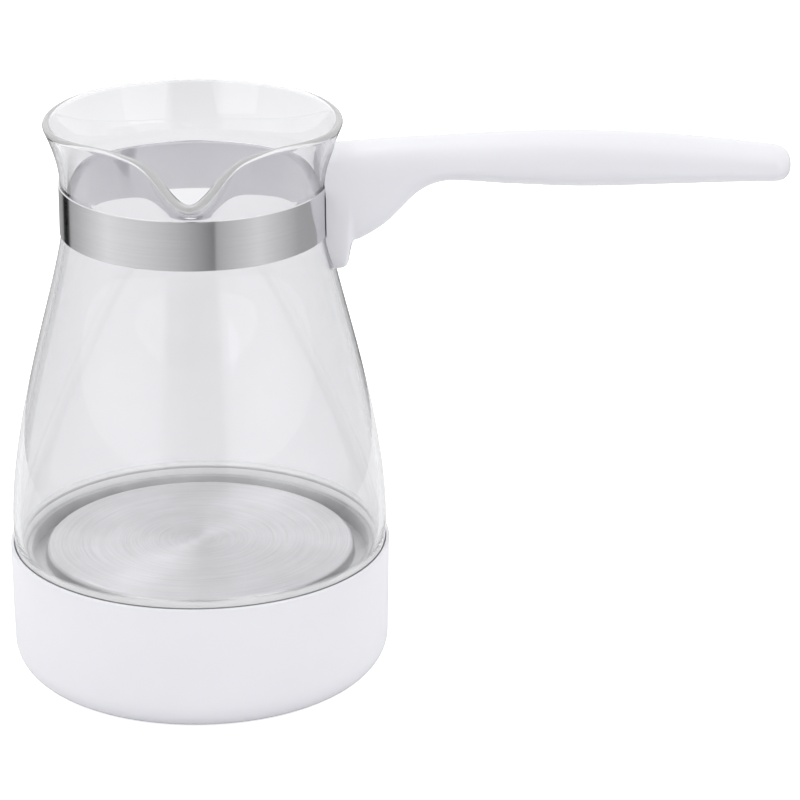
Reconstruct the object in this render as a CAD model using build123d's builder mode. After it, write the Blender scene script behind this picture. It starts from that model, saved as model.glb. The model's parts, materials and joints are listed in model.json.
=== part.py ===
"""Electric coffee pot with a glass jug, a heated base and a one-piece side handle.

The origin is the centre of the ring that the pot rests on. +Z is up, the handle points
along +X and the pouring lip along -Y. All sizes are in millimetres.
"""

import os
from build123d import *
from math import asin, atan2, copysign, cos, degrees, exp, hypot, pi, radians, sin

os.makedirs("parts", exist_ok=True)

# ------------------------------------------------------------------ driving sizes
# Clearances
slip_gap = 0.3           # between pieces that are only set into each other
close_gap = 0.1          # between pieces that seat on each other
screw_gap = 0.15         # round a screw shank

# Glass jug
rim_height = 165.0       # rim above the table
neck_radius = 37.7       # outside of the neck, over the band
rim_flare = 5.1          # how far the rim stands out of the neck
belly_swell = 0.7        # how far the widest place stands out of the foot
belly_rise = 7.2         # widest place above the base
shoulder_lap = 1.4       # the bell runs into the neck this far above the band's lower edge
flare_gap = 0.5          # the neck begins to flare this far above the band
bell_wall = 2.0
neck_wall = 1.9
heel_wall = 2.8          # thicker glass at the foot
foot_gap = 0.6           # round the foot, in the base
neck_step = 2.06         # even spacing of the neck's sections
rim_rounding = 0.6
lip_pull = 12.6          # how far the pouring lip stands out of the flare
lip_drop = 9.6           # how far the lip dips under the rim
lip_half_width = 18.5    # from the middle of the lip to the level rim
lip_half_angle = 10.5    # degrees
lip_rise = 7.2           # height of the sloping floor of the lip
pinch_depth = 3.2        # how far the rim is pressed in beside the lip
pinch_angle = 36.0
pinch_spread = 14.0

# Band round the neck
band_thickness = 0.5
band_seat = 0.2          # depth of the shallow seat in the glass
band_gap = 0.1           # between the glass and the band
band_height = 14.4
band_drop = 18.0         # upper edge of the band under the rim
ear_gap = 4.0            # between the two turned-out ends
ear_reach = 7.0          # how far the ends stand out of the band
ear_height = 7.0
tab_length = 8.0         # lapped tabs that the handle screw goes through
screw_offset = 10.0      # handle screw, from the outside of the band

# Handle
handle_reach = 167.9     # tip, from the jug's axis
handle_dome = 4.7        # depth of the rounded tip
handle_rise = 5.0        # axis of the handle above the band
tip_half_height = 5.0
tip_half_width = 7.3
root_half_width = 8.6
grip_half_width = 9.9
grip_half_height = 7.7
notch_reach = 6.2        # inner corner of the root, from the band
crook_length = 29.0      # from the corner to the waist of the grip
crook_rise = 17.4        # from the corner up to the waist
tongue_drop = 8.6        # tongue below the root, against the glass
grip_fullness = 2.4      # 2 is an ellipse, more is squarer
root_fullness = 3.2
station_step = 4.5       # even spacing of the handle's sections
handle_screw_radius = 2.0
handle_screw_length = 18.0

# Base
base_height = 38.8
base_radius = 55.0
base_draft = 0.4         # narrower at the foot by this much
base_lip = 1.0           # width of the upper edge round the glass
base_wall = 2.4
base_rounding = 9.6
ledge_width = 3.9        # ledge that carries the plate's flange
ledge_thickness = 2.4
foot_width = 3.4         # width of the flat ring that rests on the table
recess_depth = 3.0       # the cover lies this far above the table
recess_step = 0.6        # ledge that the cover lies under
cover_thickness = 2.0
boss_inset = 5.2         # cover screws, from the edge of the recess
boss_radius = 3.4
boss_height = 18.0
boss_angles = (60, 180, 300)
cover_screw_radius = 1.5
cover_screw_length = 11.0
cover_head_height = 1.2
collar_wall = 1.6        # collar of the cover round the socket
collar_height = 3.0

# Heating plate
plate_drop = 1.2         # top of the plateau under the edge of the base
trough_width = 4.2       # between the seal and the plateau
plate_sheet = 0.6
plate_step = 4.6         # height of the plateau over the trough round it
seal_thickness = 1.6
seal_lip = 3.0           # height of the seal's inner lip above its seat
diffuser_thickness = 3.0
diffuser_gap = 0.6       # from the diffuser's rim to the side of the plateau

# Element
element_radius = 3.2
element_flat = 0.3       # flattened where it is brazed to the diffuser
element_bend = 5.0
element_leg = 1.1
cold_pin_radius = 1.1
cold_pin_length = 6.0

# Clamp ring and its studs
stud_inset = 3.4         # from the diffuser's rim
stud_radius = 1.9
stud_angles = (0, 120, 240)
stud_length = 9.4
clamp_thickness = 1.2
clamp_margin = 0.8       # between the studs and the ring's inner edge
nut_across = 7.0
nut_height = 2.8

# Thermal control
head_radius = 25.0       # upper disc of the moulding
head_thickness = 6.6
head_gap = 0.3           # between the moulding and the diffuser
floor_radius = 24.0
floor_height = 14.5
floor_thickness = 3.5
web_half_width = 6.0
web_half_length = 12.5
circuit_offset = 12.0    # the two circuits lie this far each side of the middle
disc_radius = 9.4
disc_sheet = 0.3
disc_dish = 0.5
pin_radius = 1.2
pin_guide_gap = 0.05
arm_width = 6.0
arm_sheet = 0.4
arm_root = 17.0          # hinge line, from the middle
arm_contact = 8.0        # contact, from the middle, on the other side
arm_tip = 11.0
contact_radius = 2.0
moving_contact_height = 0.7
fixed_contact_height = 1.0
strip_sheet = 0.8
strip_width = 6.0
terminal_post = 3.0
control_screw_circle = 21.0
control_screw_radius = 1.5

# Round socket on the underside
socket_depth = 11.0
skirt_low = 3.0          # lower end of the socket, above the table
skirt_inner = 16.4
skirt_outer = 18.4
live_pin_radius = 3.0
neutral_inner = 8.6
neutral_outer = 9.4
earth_inner = 14.6
earth_outer = 15.4
contact_inset = 1.5      # the metal rings start this far inside the socket
ring_tab = 4.0           # width of the tab that leads from a ring through the moulding

# ------------------------------------------------------------------ derived levels
plate_height = base_height - plate_drop                 # top of the plateau
seal_seat = plate_height - plate_step                   # top of the plate's flange
heel_height = seal_seat + seal_thickness                # lower edge of the glass
socket_radius = base_radius - base_lip                  # hollow that takes the glass
heel_radius = socket_radius - foot_gap                  # outside of the glass foot
belly_radius = heel_radius + belly_swell
belly_height = base_height + belly_rise
seal_inner = heel_radius - heel_wall - seal_thickness
plate_radius = seal_inner - trough_width
ledge_height = seal_seat - plate_sheet                  # ledge under the plate's flange
ledge_inner = socket_radius - ledge_width
flange_radius = socket_radius - close_gap
diffuser_top = plate_height - plate_sheet
diffuser_low = diffuser_top - diffuser_thickness
diffuser_radius = plate_radius - plate_sheet - diffuser_gap
stud_circle = diffuser_radius - stud_inset
element_circle = (head_radius + stud_circle - stud_radius) / 2  # midway between the control and the studs
rim_radius = neck_radius + rim_flare
seat_radius = neck_radius - band_seat
band_inner = seat_radius + band_gap
band_outer = band_inner + band_thickness
band_top = rim_height - band_drop
band_low = band_top - band_height
shoulder_height = band_low + shoulder_lap               # where the bell becomes the straight neck
flare_height = band_top + flare_gap                     # where the neck begins to flare
neck_split = band_top + close_gap                       # the shaped part of the neck starts here
lip_start = neck_split + close_gap                      # the lip begins to lean out of the neck here
handle_axis_height = band_top + handle_rise
recess_radius = base_radius - base_rounding - foot_width
boss_circle = recess_radius - boss_inset
cover_radius = recess_radius - recess_step - slip_gap
cover_top = recess_depth + cover_thickness
clamp_top = ledge_height - ledge_thickness
clamp_low = clamp_top - clamp_thickness
inner_wall = base_radius - base_draft - base_wall
clamp_outer = inner_wall - slip_gap
clamp_inner = stud_circle - stud_radius - clamp_margin
head_top = diffuser_low - head_gap
head_low = head_top - head_thickness
floor_top = floor_height + floor_thickness
arm_top = head_low - strip_sheet - fixed_contact_height - moving_contact_height
arm_low = arm_top - arm_sheet
element_height = diffuser_low - element_radius + element_flat
screw_x = band_outer + screw_offset


def save(piece, label):
    """Name one finished piece and write it."""
    piece.part.label = label
    export_step(piece.part, f"parts/{label}.step")


def closed_curve(points):
    """Smooth closed curve through points; its even parameters keep a loft of several fair."""
    spans = len(points)
    shares = [step / spans for step in range(spans + 1)]
    return Edge.make_spline([Vector(*point) for point in points], periodic=True, parameters=shares)


def part_height(curve, x):
    """Second coordinate of a guide curve at x; the curve runs towards +x."""
    low, high = 0.0, 1.0
    for _ in range(40):
        middle = (low + high) / 2
        if (curve @ middle).X < x:
            low = middle
        else:
            high = middle
    return (curve @ low).Y


# ------------------------------------------------------------------ glass jug
def bell_radius(height):
    """Outside radius of the bell between its widest place and the neck."""
    share = (height - belly_height) / (shoulder_height - belly_height)
    return seat_radius + (belly_radius - seat_radius) * (1 - share**1.7) ** 1.35


def flare_share(height):
    """0 where the neck begins to flare, 1 at the rim."""
    return max(0.0, (height - flare_height) / (rim_height - flare_height))


def lip_radius(angle, height, wall):
    """Radius of the neck's skin, angle in degrees from the middle of the lip."""
    flare = neck_radius + (rim_radius - neck_radius) * flare_share(height) ** 1.7
    rise = min(1.0, max(0.0, (height - 0.7 * wall - lip_start) / lip_rise))
    fade = 1 - 0.045 * max(0.0, height - lip_start - lip_rise)
    pull = lip_pull * (1 - cos(rise * pi)) / 2 * fade
    outward = pull * exp(-abs(angle / lip_half_angle) ** 1.6)
    pinch = pinch_depth * flare_share(height) ** 1.5
    inward = pinch * exp(-(((abs(angle) - pinch_angle) / pinch_spread) ** 2))
    return flare - wall + outward - inward


def neck_sections(wall, low, high):
    """Closed horizontal sections of the neck at even heights, with close points at the lip."""
    sections = []
    side_count = 15
    count = round((high - low) / neck_step)
    for level in range(count + 1):
        height = low + level * (high - low) / count
        points = []
        for step in range(1 - side_count, side_count + 1):
            angle = 180 * copysign(abs(step / side_count) ** 1.6, step)
            radius = lip_radius(angle, height, wall)
            turn = radians(angle - 90)
            points.append((radius * cos(turn), radius * sin(turn)))
        with BuildSketch(Plane.XY.offset(height)) as section:
            with BuildLine():
                add(closed_curve(points))
            make_face()
        sections.append(section.sketch.face())
    return sections


over_rim = rim_height + 2.0
bell_stations = [belly_height + share * (shoulder_height - belly_height)
                 for share in (0.0, 0.22, 0.4, 0.58, 0.74, 0.88, 1.0)]
bell_wall_change = 0.9 * shoulder_height

with BuildPart() as glass_jug:
    loft(neck_sections(0.0, neck_split, over_rim))
    loft(neck_sections(neck_wall, neck_split - neck_step, over_rim + neck_step), mode=Mode.SUBTRACT)
    with BuildSketch(Plane.XZ.offset(rim_radius / 2)):
        with BuildLine():
            lip = [(1.0, 0.0), (0.65, 0.2), (0.42, 0.48), (0.18, 0.87), (0.0, 1.0)]
            left = [(-lip_half_width * x, rim_height - lip_drop * z) for x, z in lip]
            right = [(-x, z) for x, z in reversed(left[:-1])]
            Spline(*left, *right, tangents=((1, 0), (1, 0)))
            Polyline(left[0], (-lip_half_width, over_rim + 2), (lip_half_width, over_rim + 2), right[-1])
        make_face()
    extrude(amount=rim_radius, mode=Mode.SUBTRACT)
    with BuildSketch(Plane.XY.offset(rim_height)):
        Circle(2 * rim_radius)
    extrude(amount=10, mode=Mode.SUBTRACT)
    rim_edges = [e for e in glass_jug.edges() if e.bounding_box().min.Z > rim_height - lip_drop - 3]
    fillet([e for e in rim_edges if e.length > rim_radius / 2], rim_rounding)
    with BuildSketch(Plane.XZ):
        with BuildLine():
            outer = [(bell_radius(z), z) for z in bell_stations]
            inner = [(r - (bell_wall if z < bell_wall_change else neck_wall), z) for r, z in outer]
            melt_top = neck_split + close_gap / 2
            Line((heel_radius - heel_wall, heel_height), (heel_radius, heel_height))
            Spline((heel_radius, heel_height), *outer, tangents=((0.06, 1), (0, 1)))
            Line(outer[-1], (outer[-1][0], melt_top))
            Line((outer[-1][0], melt_top), (inner[-1][0], melt_top))
            Line((inner[-1][0], melt_top), inner[-1])
            Spline((heel_radius - heel_wall, heel_height), *inner, tangents=((0.05, 1), (0, 1)))
        make_face()
    revolve(axis=Axis.Z)
save(glass_jug, "glass_jug")

# ------------------------------------------------------------------ neck band
ear_low = band_top - ear_height - 1.0
tab_low = band_top - 3.0
ear_end = band_outer + ear_reach
tab_start = screw_x - tab_length / 2

with BuildPart() as neck_band:
    with BuildSketch(Plane.XY.offset(band_low)):
        Circle(band_outer)
        Circle(band_inner, mode=Mode.SUBTRACT)
        with Locations((band_outer, 0)):
            Rectangle(6, ear_gap, mode=Mode.SUBTRACT)
    extrude(amount=band_height)
    for side in (-1, 1):
        lap = 0 if side < 0 else band_thickness + 0.02
        with BuildSketch(Plane.XY.offset(ear_low)):
            with Locations(((band_inner + 0.2 + ear_end) / 2, side * (ear_gap + band_thickness) / 2)):
                Rectangle(ear_end - band_inner - 0.2, band_thickness)
        extrude(amount=ear_height)
        with BuildSketch(Plane.XY.offset(tab_low + lap)):
            with Locations((tab_start + tab_length / 2, 0)):
                Rectangle(tab_length, ear_gap + 2 * band_thickness)
        extrude(amount=band_thickness)
    with BuildSketch(Plane.XY.offset(tab_low)):
        with Locations((screw_x, 0)):
            Circle(handle_screw_radius + screw_gap)
    extrude(amount=2 * band_thickness + 0.02, mode=Mode.SUBTRACT)
save(neck_band, "neck_band")

# ------------------------------------------------------------------ handle
dome_start = handle_reach - handle_dome
root_low = band_low - 2.6
root_start = neck_radius - 6.0
tip_low = handle_axis_height - tip_half_height
tip_high = handle_axis_height + tip_half_height
grip_x = 0.62 * handle_reach + 6.0
grip_axis = handle_axis_height + 1.3
notch_x = band_outer + notch_reach
waist_x = notch_x + crook_length

top_guide = Spline((root_start, grip_axis + 3.2), (waist_x - 3.5, grip_axis + 6.2),
                   (grip_x, grip_axis + grip_half_height), (dome_start, tip_high),
                   tangents=((1, 0.08), (1, -0.13)))
crook = [(notch_x + crook_length * along, root_low + crook_rise * up)
         for along, up in ((0, 0), (0.21, 0.15), (0.48, 0.54), (0.74, 0.94), (1, 1))]
under_guide = Spline((root_start, root_low), *crook, (grip_x, grip_axis - grip_half_height),
                     (dome_start, tip_low), tangents=((1, 0), (1, 0.02)))
side_guide = Spline((root_start, root_half_width), (waist_x - crook_length / 2, root_half_width),
                    (grip_x, grip_half_width), (dome_start, tip_half_width),
                    tangents=((1, 0), (1, -0.08)))


def handle_section(x, half_width, low, high, fullness):
    """Rounded section of the handle across its length; a higher fullness is squarer."""
    points = []
    count = 24
    for step in range(count):
        turn = 2 * pi * step / count
        across = copysign(abs(cos(turn)) ** (2 / fullness), cos(turn))
        up = copysign(abs(sin(turn)) ** (2 / fullness), sin(turn))
        points.append((half_width * across, (low + high) / 2 + (high - low) / 2 * up))
    with BuildSketch(Plane.YZ.offset(x)) as section:
        with BuildLine():
            add(closed_curve(points))
        make_face()
    return section.sketch.face()


grip_sections = []
station_count = round((dome_start - root_start) / station_step)
for station in range(station_count + 1):
    x = root_start + station * (dome_start - root_start) / station_count
    share = max(0.0, min(1.0, (waist_x - x) / (waist_x - notch_x)))
    fullness = grip_fullness + (root_fullness - grip_fullness) * share**2 * (3 - 2 * share)
    grip_sections.append(handle_section(x, part_height(side_guide, x), part_height(under_guide, x),
                                        part_height(top_guide, x), fullness))
dome_sections = []
for step in range(7):
    turn = radians(14 * step)
    dome_sections.append(handle_section(dome_start + handle_dome * sin(turn), tip_half_width * cos(turn),
                                        handle_axis_height - tip_half_height * cos(turn),
                                        handle_axis_height + tip_half_height * cos(turn), grip_fullness))

pocket_low = ear_low - slip_gap
pocket_high = band_top - slip_gap
pocket_end = tab_start + tab_length + slip_gap
head_bore = handle_screw_radius * 1.8
screw_low = root_low + 6.0
screw_top = screw_low + handle_screw_length

tongue_low = root_low - tongue_drop
tongue_top = root_low + 6.0
tongue_half_width = root_half_width - 1.2

with BuildPart() as tongue_form:
    with BuildSketch(Plane.XZ):
        with BuildLine():
            toe = (notch_x - 1.0, tongue_low + 2.0)
            heel = (notch_x - 4.4, tongue_low + 1.6)
            Polyline(toe, (notch_x - 0.3, root_low + 0.5), (notch_x + 1.2, root_low + 2.5),
                     (notch_x + 1.2, tongue_top), (root_start, tongue_top), (root_start, root_low - 3), heel)
            ThreePointArc(heel, (notch_x - 2.6, tongue_low), toe)
        make_face()
    extrude(amount=root_half_width, both=True)
    with BuildSketch(Plane.YZ.offset(root_start - 1)):
        with BuildLine():
            side_low = (tongue_half_width - 1.0, tongue_low + 4.0)
            Polyline((-side_low[0], side_low[1]), (-tongue_half_width, root_low + 2), (-tongue_half_width, tongue_top),
                     (tongue_half_width, tongue_top), (tongue_half_width, root_low + 2), side_low)
            Spline(side_low, (0, tongue_low), (-side_low[0], side_low[1]), tangents=((-0.2, -1), (-0.2, 1)))
        make_face()
    extrude(amount=40, mode=Mode.INTERSECT)
tongue = tongue_form.part

with BuildPart() as handle:
    loft(grip_sections)
    loft(dome_sections)
    add(tongue)
    with BuildSketch(Plane.XZ) as neck_room:
        with BuildLine():
            clear_stations = [z for z in bell_stations if z > 80]
            clear = [(bell_radius(z) + slip_gap, z) for z in clear_stations]
            Line((0, clear_stations[0]), clear[0])
            Spline(*clear, tangents=((-0.3, 1), (0, 1)))
            Line(clear[-1], (neck_radius + slip_gap, flare_height))
            Spline((neck_radius + slip_gap, flare_height),
                   (lip_radius(180, flare_height + 9, 0) + slip_gap, flare_height + 9),
                   (rim_radius + slip_gap, rim_height), tangents=((0, 1), (0.5, 1)))
            Polyline((rim_radius + slip_gap, rim_height), (0, rim_height), (0, clear_stations[0]))
        make_face()
    revolve(axis=Axis.Z, mode=Mode.SUBTRACT)
    with BuildSketch(Plane.XY.offset(band_low - slip_gap)):
        Circle(band_outer + close_gap)
    extrude(amount=band_height + 2 * slip_gap, mode=Mode.SUBTRACT)
    with BuildSketch(Plane.XY.offset(pocket_low)):
        with Locations((pocket_end / 2, 0)):
            Rectangle(pocket_end, ear_gap + 2 * band_thickness + 2 * slip_gap)
    extrude(amount=pocket_high - pocket_low, mode=Mode.SUBTRACT)
    with BuildSketch(Plane.XY.offset(root_low - 5)):
        with Locations((screw_x, 0)):
            Circle(head_bore)
    extrude(amount=screw_low - root_low + 5, mode=Mode.SUBTRACT)
    with BuildSketch(Plane.XY.offset(screw_low)):
        with Locations((screw_x, 0)):
            Circle(handle_screw_radius + close_gap / 2)
    extrude(amount=handle_screw_length + 1.0, mode=Mode.SUBTRACT)
save(handle, "handle")

with BuildPart() as handle_screw:
    with BuildSketch(Plane.XY.offset(screw_low - 2.2)):
        with Locations((screw_x, 0)):
            Circle(head_bore - slip_gap)
    extrude(amount=2.2)
    fillet(handle_screw.edges().sort_by(Axis.Z)[0], 1.0)
    with BuildSketch(Plane.XY.offset(screw_low)):
        with Locations((screw_x, 0)):
            Circle(handle_screw_radius)
    extrude(amount=handle_screw_length)
    chamfer(handle_screw.edges().sort_by(Axis.Z)[-1], 0.6)
    with BuildSketch(Plane.XY.offset(screw_low - 2.2)):
        with Locations((screw_x, 0)):
            Rectangle(3.6, 0.9)
            Rectangle(0.9, 3.6)
    extrude(amount=1.2, mode=Mode.SUBTRACT)
save(handle_screw, "handle_screw")

# ------------------------------------------------------------------ base housing
foot_outer = base_radius - base_draft - base_rounding
side_low = (base_radius - base_draft, base_rounding)

with BuildPart() as base_ring:
    with BuildSketch(Plane.XZ):
        with BuildLine():
            Line((recess_radius, 0), (foot_outer, 0))
            RadiusArc((foot_outer, 0), side_low, -base_rounding)
            Line(side_low, (base_radius, base_height - 0.4))
            Line((base_radius, base_height - 0.4), (base_radius - 0.4, base_height))
            Line((base_radius - 0.4, base_height), (socket_radius, base_height))
            Line((socket_radius, base_height), (socket_radius, ledge_height))
            Line((socket_radius, ledge_height), (ledge_inner, ledge_height))
            Line((ledge_inner, ledge_height), (ledge_inner, clamp_top))
            Line((ledge_inner, clamp_top), (inner_wall, clamp_top))
            Line((inner_wall, clamp_top), (inner_wall, base_rounding))
            RadiusArc((inner_wall, base_rounding), (foot_outer, base_wall), base_rounding - base_wall)
            Line((foot_outer, base_wall), (recess_radius + base_wall, base_wall))
            Line((recess_radius + base_wall, base_wall), (recess_radius + base_wall, cover_top + 1.5))
            Line((recess_radius + base_wall, cover_top + 1.5), (recess_radius - recess_step, cover_top + 1.5))
            Line((recess_radius - recess_step, cover_top + 1.5), (recess_radius - recess_step, recess_depth))
            Line((recess_radius - recess_step, recess_depth), (recess_radius, recess_depth))
            Line((recess_radius, recess_depth), (recess_radius, 0))
        make_face()
    revolve(axis=Axis.Z)
    for angle in boss_angles:
        rib_plane = Plane.XY.offset(cover_top + 1.0).rotated((0, 0, angle))
        with BuildSketch(rib_plane):
            with Locations(((boss_circle + inner_wall) / 2, 0)):
                Rectangle(inner_wall - boss_circle + 0.5, 2.0)
        extrude(amount=boss_height - 1.0)
        with BuildSketch(Plane.XY.offset(cover_top).rotated((0, 0, angle))):
            with Locations((boss_circle, 0)):
                Circle(boss_radius)
        extrude(amount=boss_height)
        with BuildSketch(Plane.XY.offset(cover_top).rotated((0, 0, angle))):
            with Locations((boss_circle, 0)):
                Circle(cover_screw_radius + close_gap / 2)
        extrude(amount=boss_height - 2.0, mode=Mode.SUBTRACT)
save(base_ring, "base_ring")

# ------------------------------------------------------------------ base cover
cover_head_radius = cover_screw_radius * 1.9

with BuildPart() as base_cover:
    with BuildSketch(Plane.XY.offset(recess_depth)):
        Circle(cover_radius)
        Circle(skirt_outer + slip_gap, mode=Mode.SUBTRACT)
        with PolarLocations(boss_circle, len(boss_angles), start_angle=boss_angles[0]):
            Circle(cover_screw_radius + screw_gap, mode=Mode.SUBTRACT)
    extrude(amount=cover_thickness)
    with BuildSketch(Plane.XY.offset(cover_top)):
        Circle(skirt_outer + slip_gap + collar_wall)
        Circle(skirt_outer + slip_gap, mode=Mode.SUBTRACT)
    extrude(amount=collar_height)
    with BuildSketch(Plane.XY.offset(recess_depth)):
        with PolarLocations(boss_circle, len(boss_angles), start_angle=boss_angles[0]):
            Circle(cover_head_radius + slip_gap)
    extrude(amount=cover_head_height, mode=Mode.SUBTRACT)
save(base_cover, "base_cover")

with BuildPart() as cover_screws:
    with BuildSketch(Plane.XY.offset(recess_depth)):
        with PolarLocations(boss_circle, len(boss_angles), start_angle=boss_angles[0]):
            Circle(cover_head_radius)
    extrude(amount=cover_head_height)
    with BuildSketch(Plane.XY.offset(recess_depth + cover_head_height)):
        with PolarLocations(boss_circle, len(boss_angles), start_angle=boss_angles[0]):
            Circle(cover_screw_radius)
    extrude(amount=cover_screw_length)
save(cover_screws, "cover_screws")

# ------------------------------------------------------------------ heating plate and seal
with BuildPart() as heating_plate:
    with BuildSketch(Plane.XZ):
        with BuildLine():
            plateau_edge = 1.2
            Line((0, plate_height), (plate_radius - plateau_edge, plate_height))
            RadiusArc((plate_radius - plateau_edge, plate_height),
                      (plate_radius, plate_height - plateau_edge), plateau_edge)
            Polyline((plate_radius, plate_height - plateau_edge), (plate_radius, seal_seat),
                     (flange_radius, seal_seat), (flange_radius, ledge_height),
                     (plate_radius - plate_sheet, ledge_height), (plate_radius - plate_sheet, diffuser_top),
                     (0, diffuser_top), (0, plate_height))
        make_face()
    revolve(axis=Axis.Z)
save(heating_plate, "heating_plate")

with BuildPart() as jug_seal:
    with BuildSketch(Plane.XZ):
        with BuildLine():
            Polyline((seal_inner, seal_seat), (flange_radius, seal_seat), (flange_radius, heel_height),
                     (heel_radius - heel_wall - close_gap, heel_height),
                     (heel_radius - heel_wall - close_gap, heel_height + seal_lip),
                     (seal_inner + 0.6, heel_height + seal_lip), (seal_inner, heel_height + seal_lip - 0.8),
                     (seal_inner, seal_seat))
        make_face()
    revolve(axis=Axis.Z)
save(jug_seal, "jug_seal")

with BuildPart() as heat_diffuser:
    with BuildSketch(Plane.XY.offset(diffuser_low)):
        Circle(diffuser_radius)
        with PolarLocations(stud_circle, len(stud_angles)):
            Circle(stud_radius + close_gap / 2, mode=Mode.SUBTRACT)
        with PolarLocations(control_screw_circle, 2):
            Circle(control_screw_radius + close_gap / 2, mode=Mode.SUBTRACT)
    extrude(amount=diffuser_thickness)
save(heat_diffuser, "heat_diffuser")

# ------------------------------------------------------------------ heating element
# Half of the gap in the ring; the bent-down ends then lie in line with the two circuits
half_open = asin(circuit_offset / hypot(element_circle, element_bend)) + atan2(element_bend, element_circle)
arc_end = (element_circle * cos(half_open), element_circle * sin(half_open))
leg_x = arc_end[0] + element_bend * sin(half_open)
leg_y = arc_end[1] - element_bend * cos(half_open)
leg_low = element_height - element_bend - element_leg

with BuildPart() as heating_element:
    with BuildSketch(Plane.XZ) as tube_section:
        with Locations((-element_circle, element_height)):
            Circle(element_radius)
            with Locations((0, element_radius)):
                Rectangle(2 * element_radius, 2 * element_flat, mode=Mode.SUBTRACT)
    revolve(axis=Axis.Z, revolution_arc=180 - degrees(half_open))
    revolve([tube_section.sketch.face()], axis=Axis.Z, revolution_arc=degrees(half_open) - 180)
    for side in (-1, 1):
        end = Vector(arc_end[0], side * arc_end[1], element_height)
        ahead = Vector(sin(half_open), -side * cos(half_open), 0)
        with BuildLine() as leg_path:
            bend = element_bend
            corner = end + ahead * bend
            middle = end + ahead * (bend * sin(pi / 4)) - Vector(0, 0, bend * (1 - cos(pi / 4)))
            low_end = corner - Vector(0, 0, bend)
            ThreePointArc(end, middle, low_end)
            Line(low_end, low_end - Vector(0, 0, element_leg))
        with BuildSketch(Plane(origin=end, z_dir=ahead)):
            Circle(element_radius - element_flat)
        sweep(path=leg_path.wire())
save(heating_element, "heating_element")

cold_ends = [(leg_x, side * leg_y) for side in (-1, 1)]
bead_height = 0.8

with BuildPart() as element_end_beads:
    with BuildSketch(Plane.XY.offset(leg_low - bead_height)):
        with Locations(cold_ends):
            Circle(element_radius - element_flat - 0.5)
            Circle(cold_pin_radius, mode=Mode.SUBTRACT)
    extrude(amount=bead_height)
save(element_end_beads, "element_end_beads")

with BuildPart() as cold_pins:
    with BuildSketch(Plane.XY.offset(leg_low - cold_pin_length)):
        with Locations(cold_ends):
            Circle(cold_pin_radius)
    extrude(amount=cold_pin_length)
save(cold_pins, "cold_pins")

# ------------------------------------------------------------------ clamp ring, studs, nuts
with BuildPart() as plate_studs:
    with BuildSketch(Plane.XY.offset(diffuser_top - stud_length - diffuser_thickness)):
        with PolarLocations(stud_circle, len(stud_angles)):
            Circle(stud_radius)
    extrude(amount=stud_length + diffuser_thickness)
save(plate_studs, "plate_studs")

with BuildPart() as clamp_ring:
    with BuildSketch(Plane.XY.offset(clamp_low)):
        Circle(clamp_outer)
        Circle(clamp_inner, mode=Mode.SUBTRACT)
        with PolarLocations(stud_circle, len(stud_angles)):
            Circle(stud_radius + screw_gap, mode=Mode.SUBTRACT)
    extrude(amount=clamp_thickness)
save(clamp_ring, "clamp_ring")

with BuildPart() as clamp_nuts:
    with BuildSketch(Plane.XY.offset(clamp_low - nut_height)):
        with PolarLocations(stud_circle, len(stud_angles)):
            RegularPolygon(nut_across / 2, 6, major_radius=False)
            Circle(stud_radius + close_gap / 2, mode=Mode.SUBTRACT)
    extrude(amount=nut_height)
save(clamp_nuts, "clamp_nuts")

# ------------------------------------------------------------------ control moulding
socket_top = skirt_low + socket_depth
pin_top = head_top - disc_dish
pin_low = arm_top + 0.2
channel = strip_sheet + close_gap
tab_centre = (neutral_inner + neutral_outer) / 2

with BuildPart() as control_body:
    with BuildSketch(Plane.XY.offset(head_low)):
        Circle(head_radius)
    extrude(amount=head_thickness)
    with BuildSketch(Plane.XY.offset(floor_height)):
        Circle(floor_radius)
    extrude(amount=floor_thickness)
    with BuildSketch(Plane.XY.offset(floor_top)):
        RectangleRounded(2 * web_half_length, 2 * web_half_width, 2.0)
    extrude(amount=head_low - floor_top)
    with BuildSketch(Plane.XY.offset(skirt_low)):
        Circle(skirt_outer)
    extrude(amount=floor_height - skirt_low)
    with BuildSketch(Plane.XY.offset(skirt_low)):
        Circle(skirt_inner)
    extrude(amount=socket_depth, mode=Mode.SUBTRACT)
    with BuildSketch(Plane.XY.offset(head_top - disc_dish - disc_sheet - slip_gap)):
        with Locations((0, circuit_offset), (0, -circuit_offset)):
            Circle(disc_radius + slip_gap)
    extrude(amount=5, mode=Mode.SUBTRACT)
    with BuildSketch(Plane.XY.offset(head_low)):
        with Locations((0, circuit_offset), (0, -circuit_offset)):
            Circle(pin_radius + pin_guide_gap)
        with PolarLocations(control_screw_circle, 2):
            Circle(control_screw_radius + screw_gap)
    extrude(amount=head_thickness, mode=Mode.SUBTRACT)
    with BuildSketch(Plane.XY.offset(floor_top)):
        with Locations((0, web_half_width)):
            Rectangle(strip_width + 2 * close_gap, 4 * web_half_width + 2 * close_gap)
        with Locations((0, -web_half_width)):
            Rectangle(strip_width + 2 * close_gap, 4 * web_half_width)
    extrude(amount=channel, mode=Mode.SUBTRACT)
    with BuildSketch(Plane.XY.offset(socket_top)):
        Circle(live_pin_radius * 0.6 + close_gap / 2)
        with Locations((0, -tab_centre)):
            Rectangle(ring_tab + 2 * close_gap, neutral_outer - neutral_inner + 2 * close_gap)
        with Locations(((earth_inner + earth_outer) / 2, 0)):
            Rectangle(earth_outer - earth_inner + 2 * close_gap, ring_tab + 2 * close_gap)
    extrude(amount=floor_top - socket_top, mode=Mode.SUBTRACT)
save(control_body, "control_body")

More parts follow.
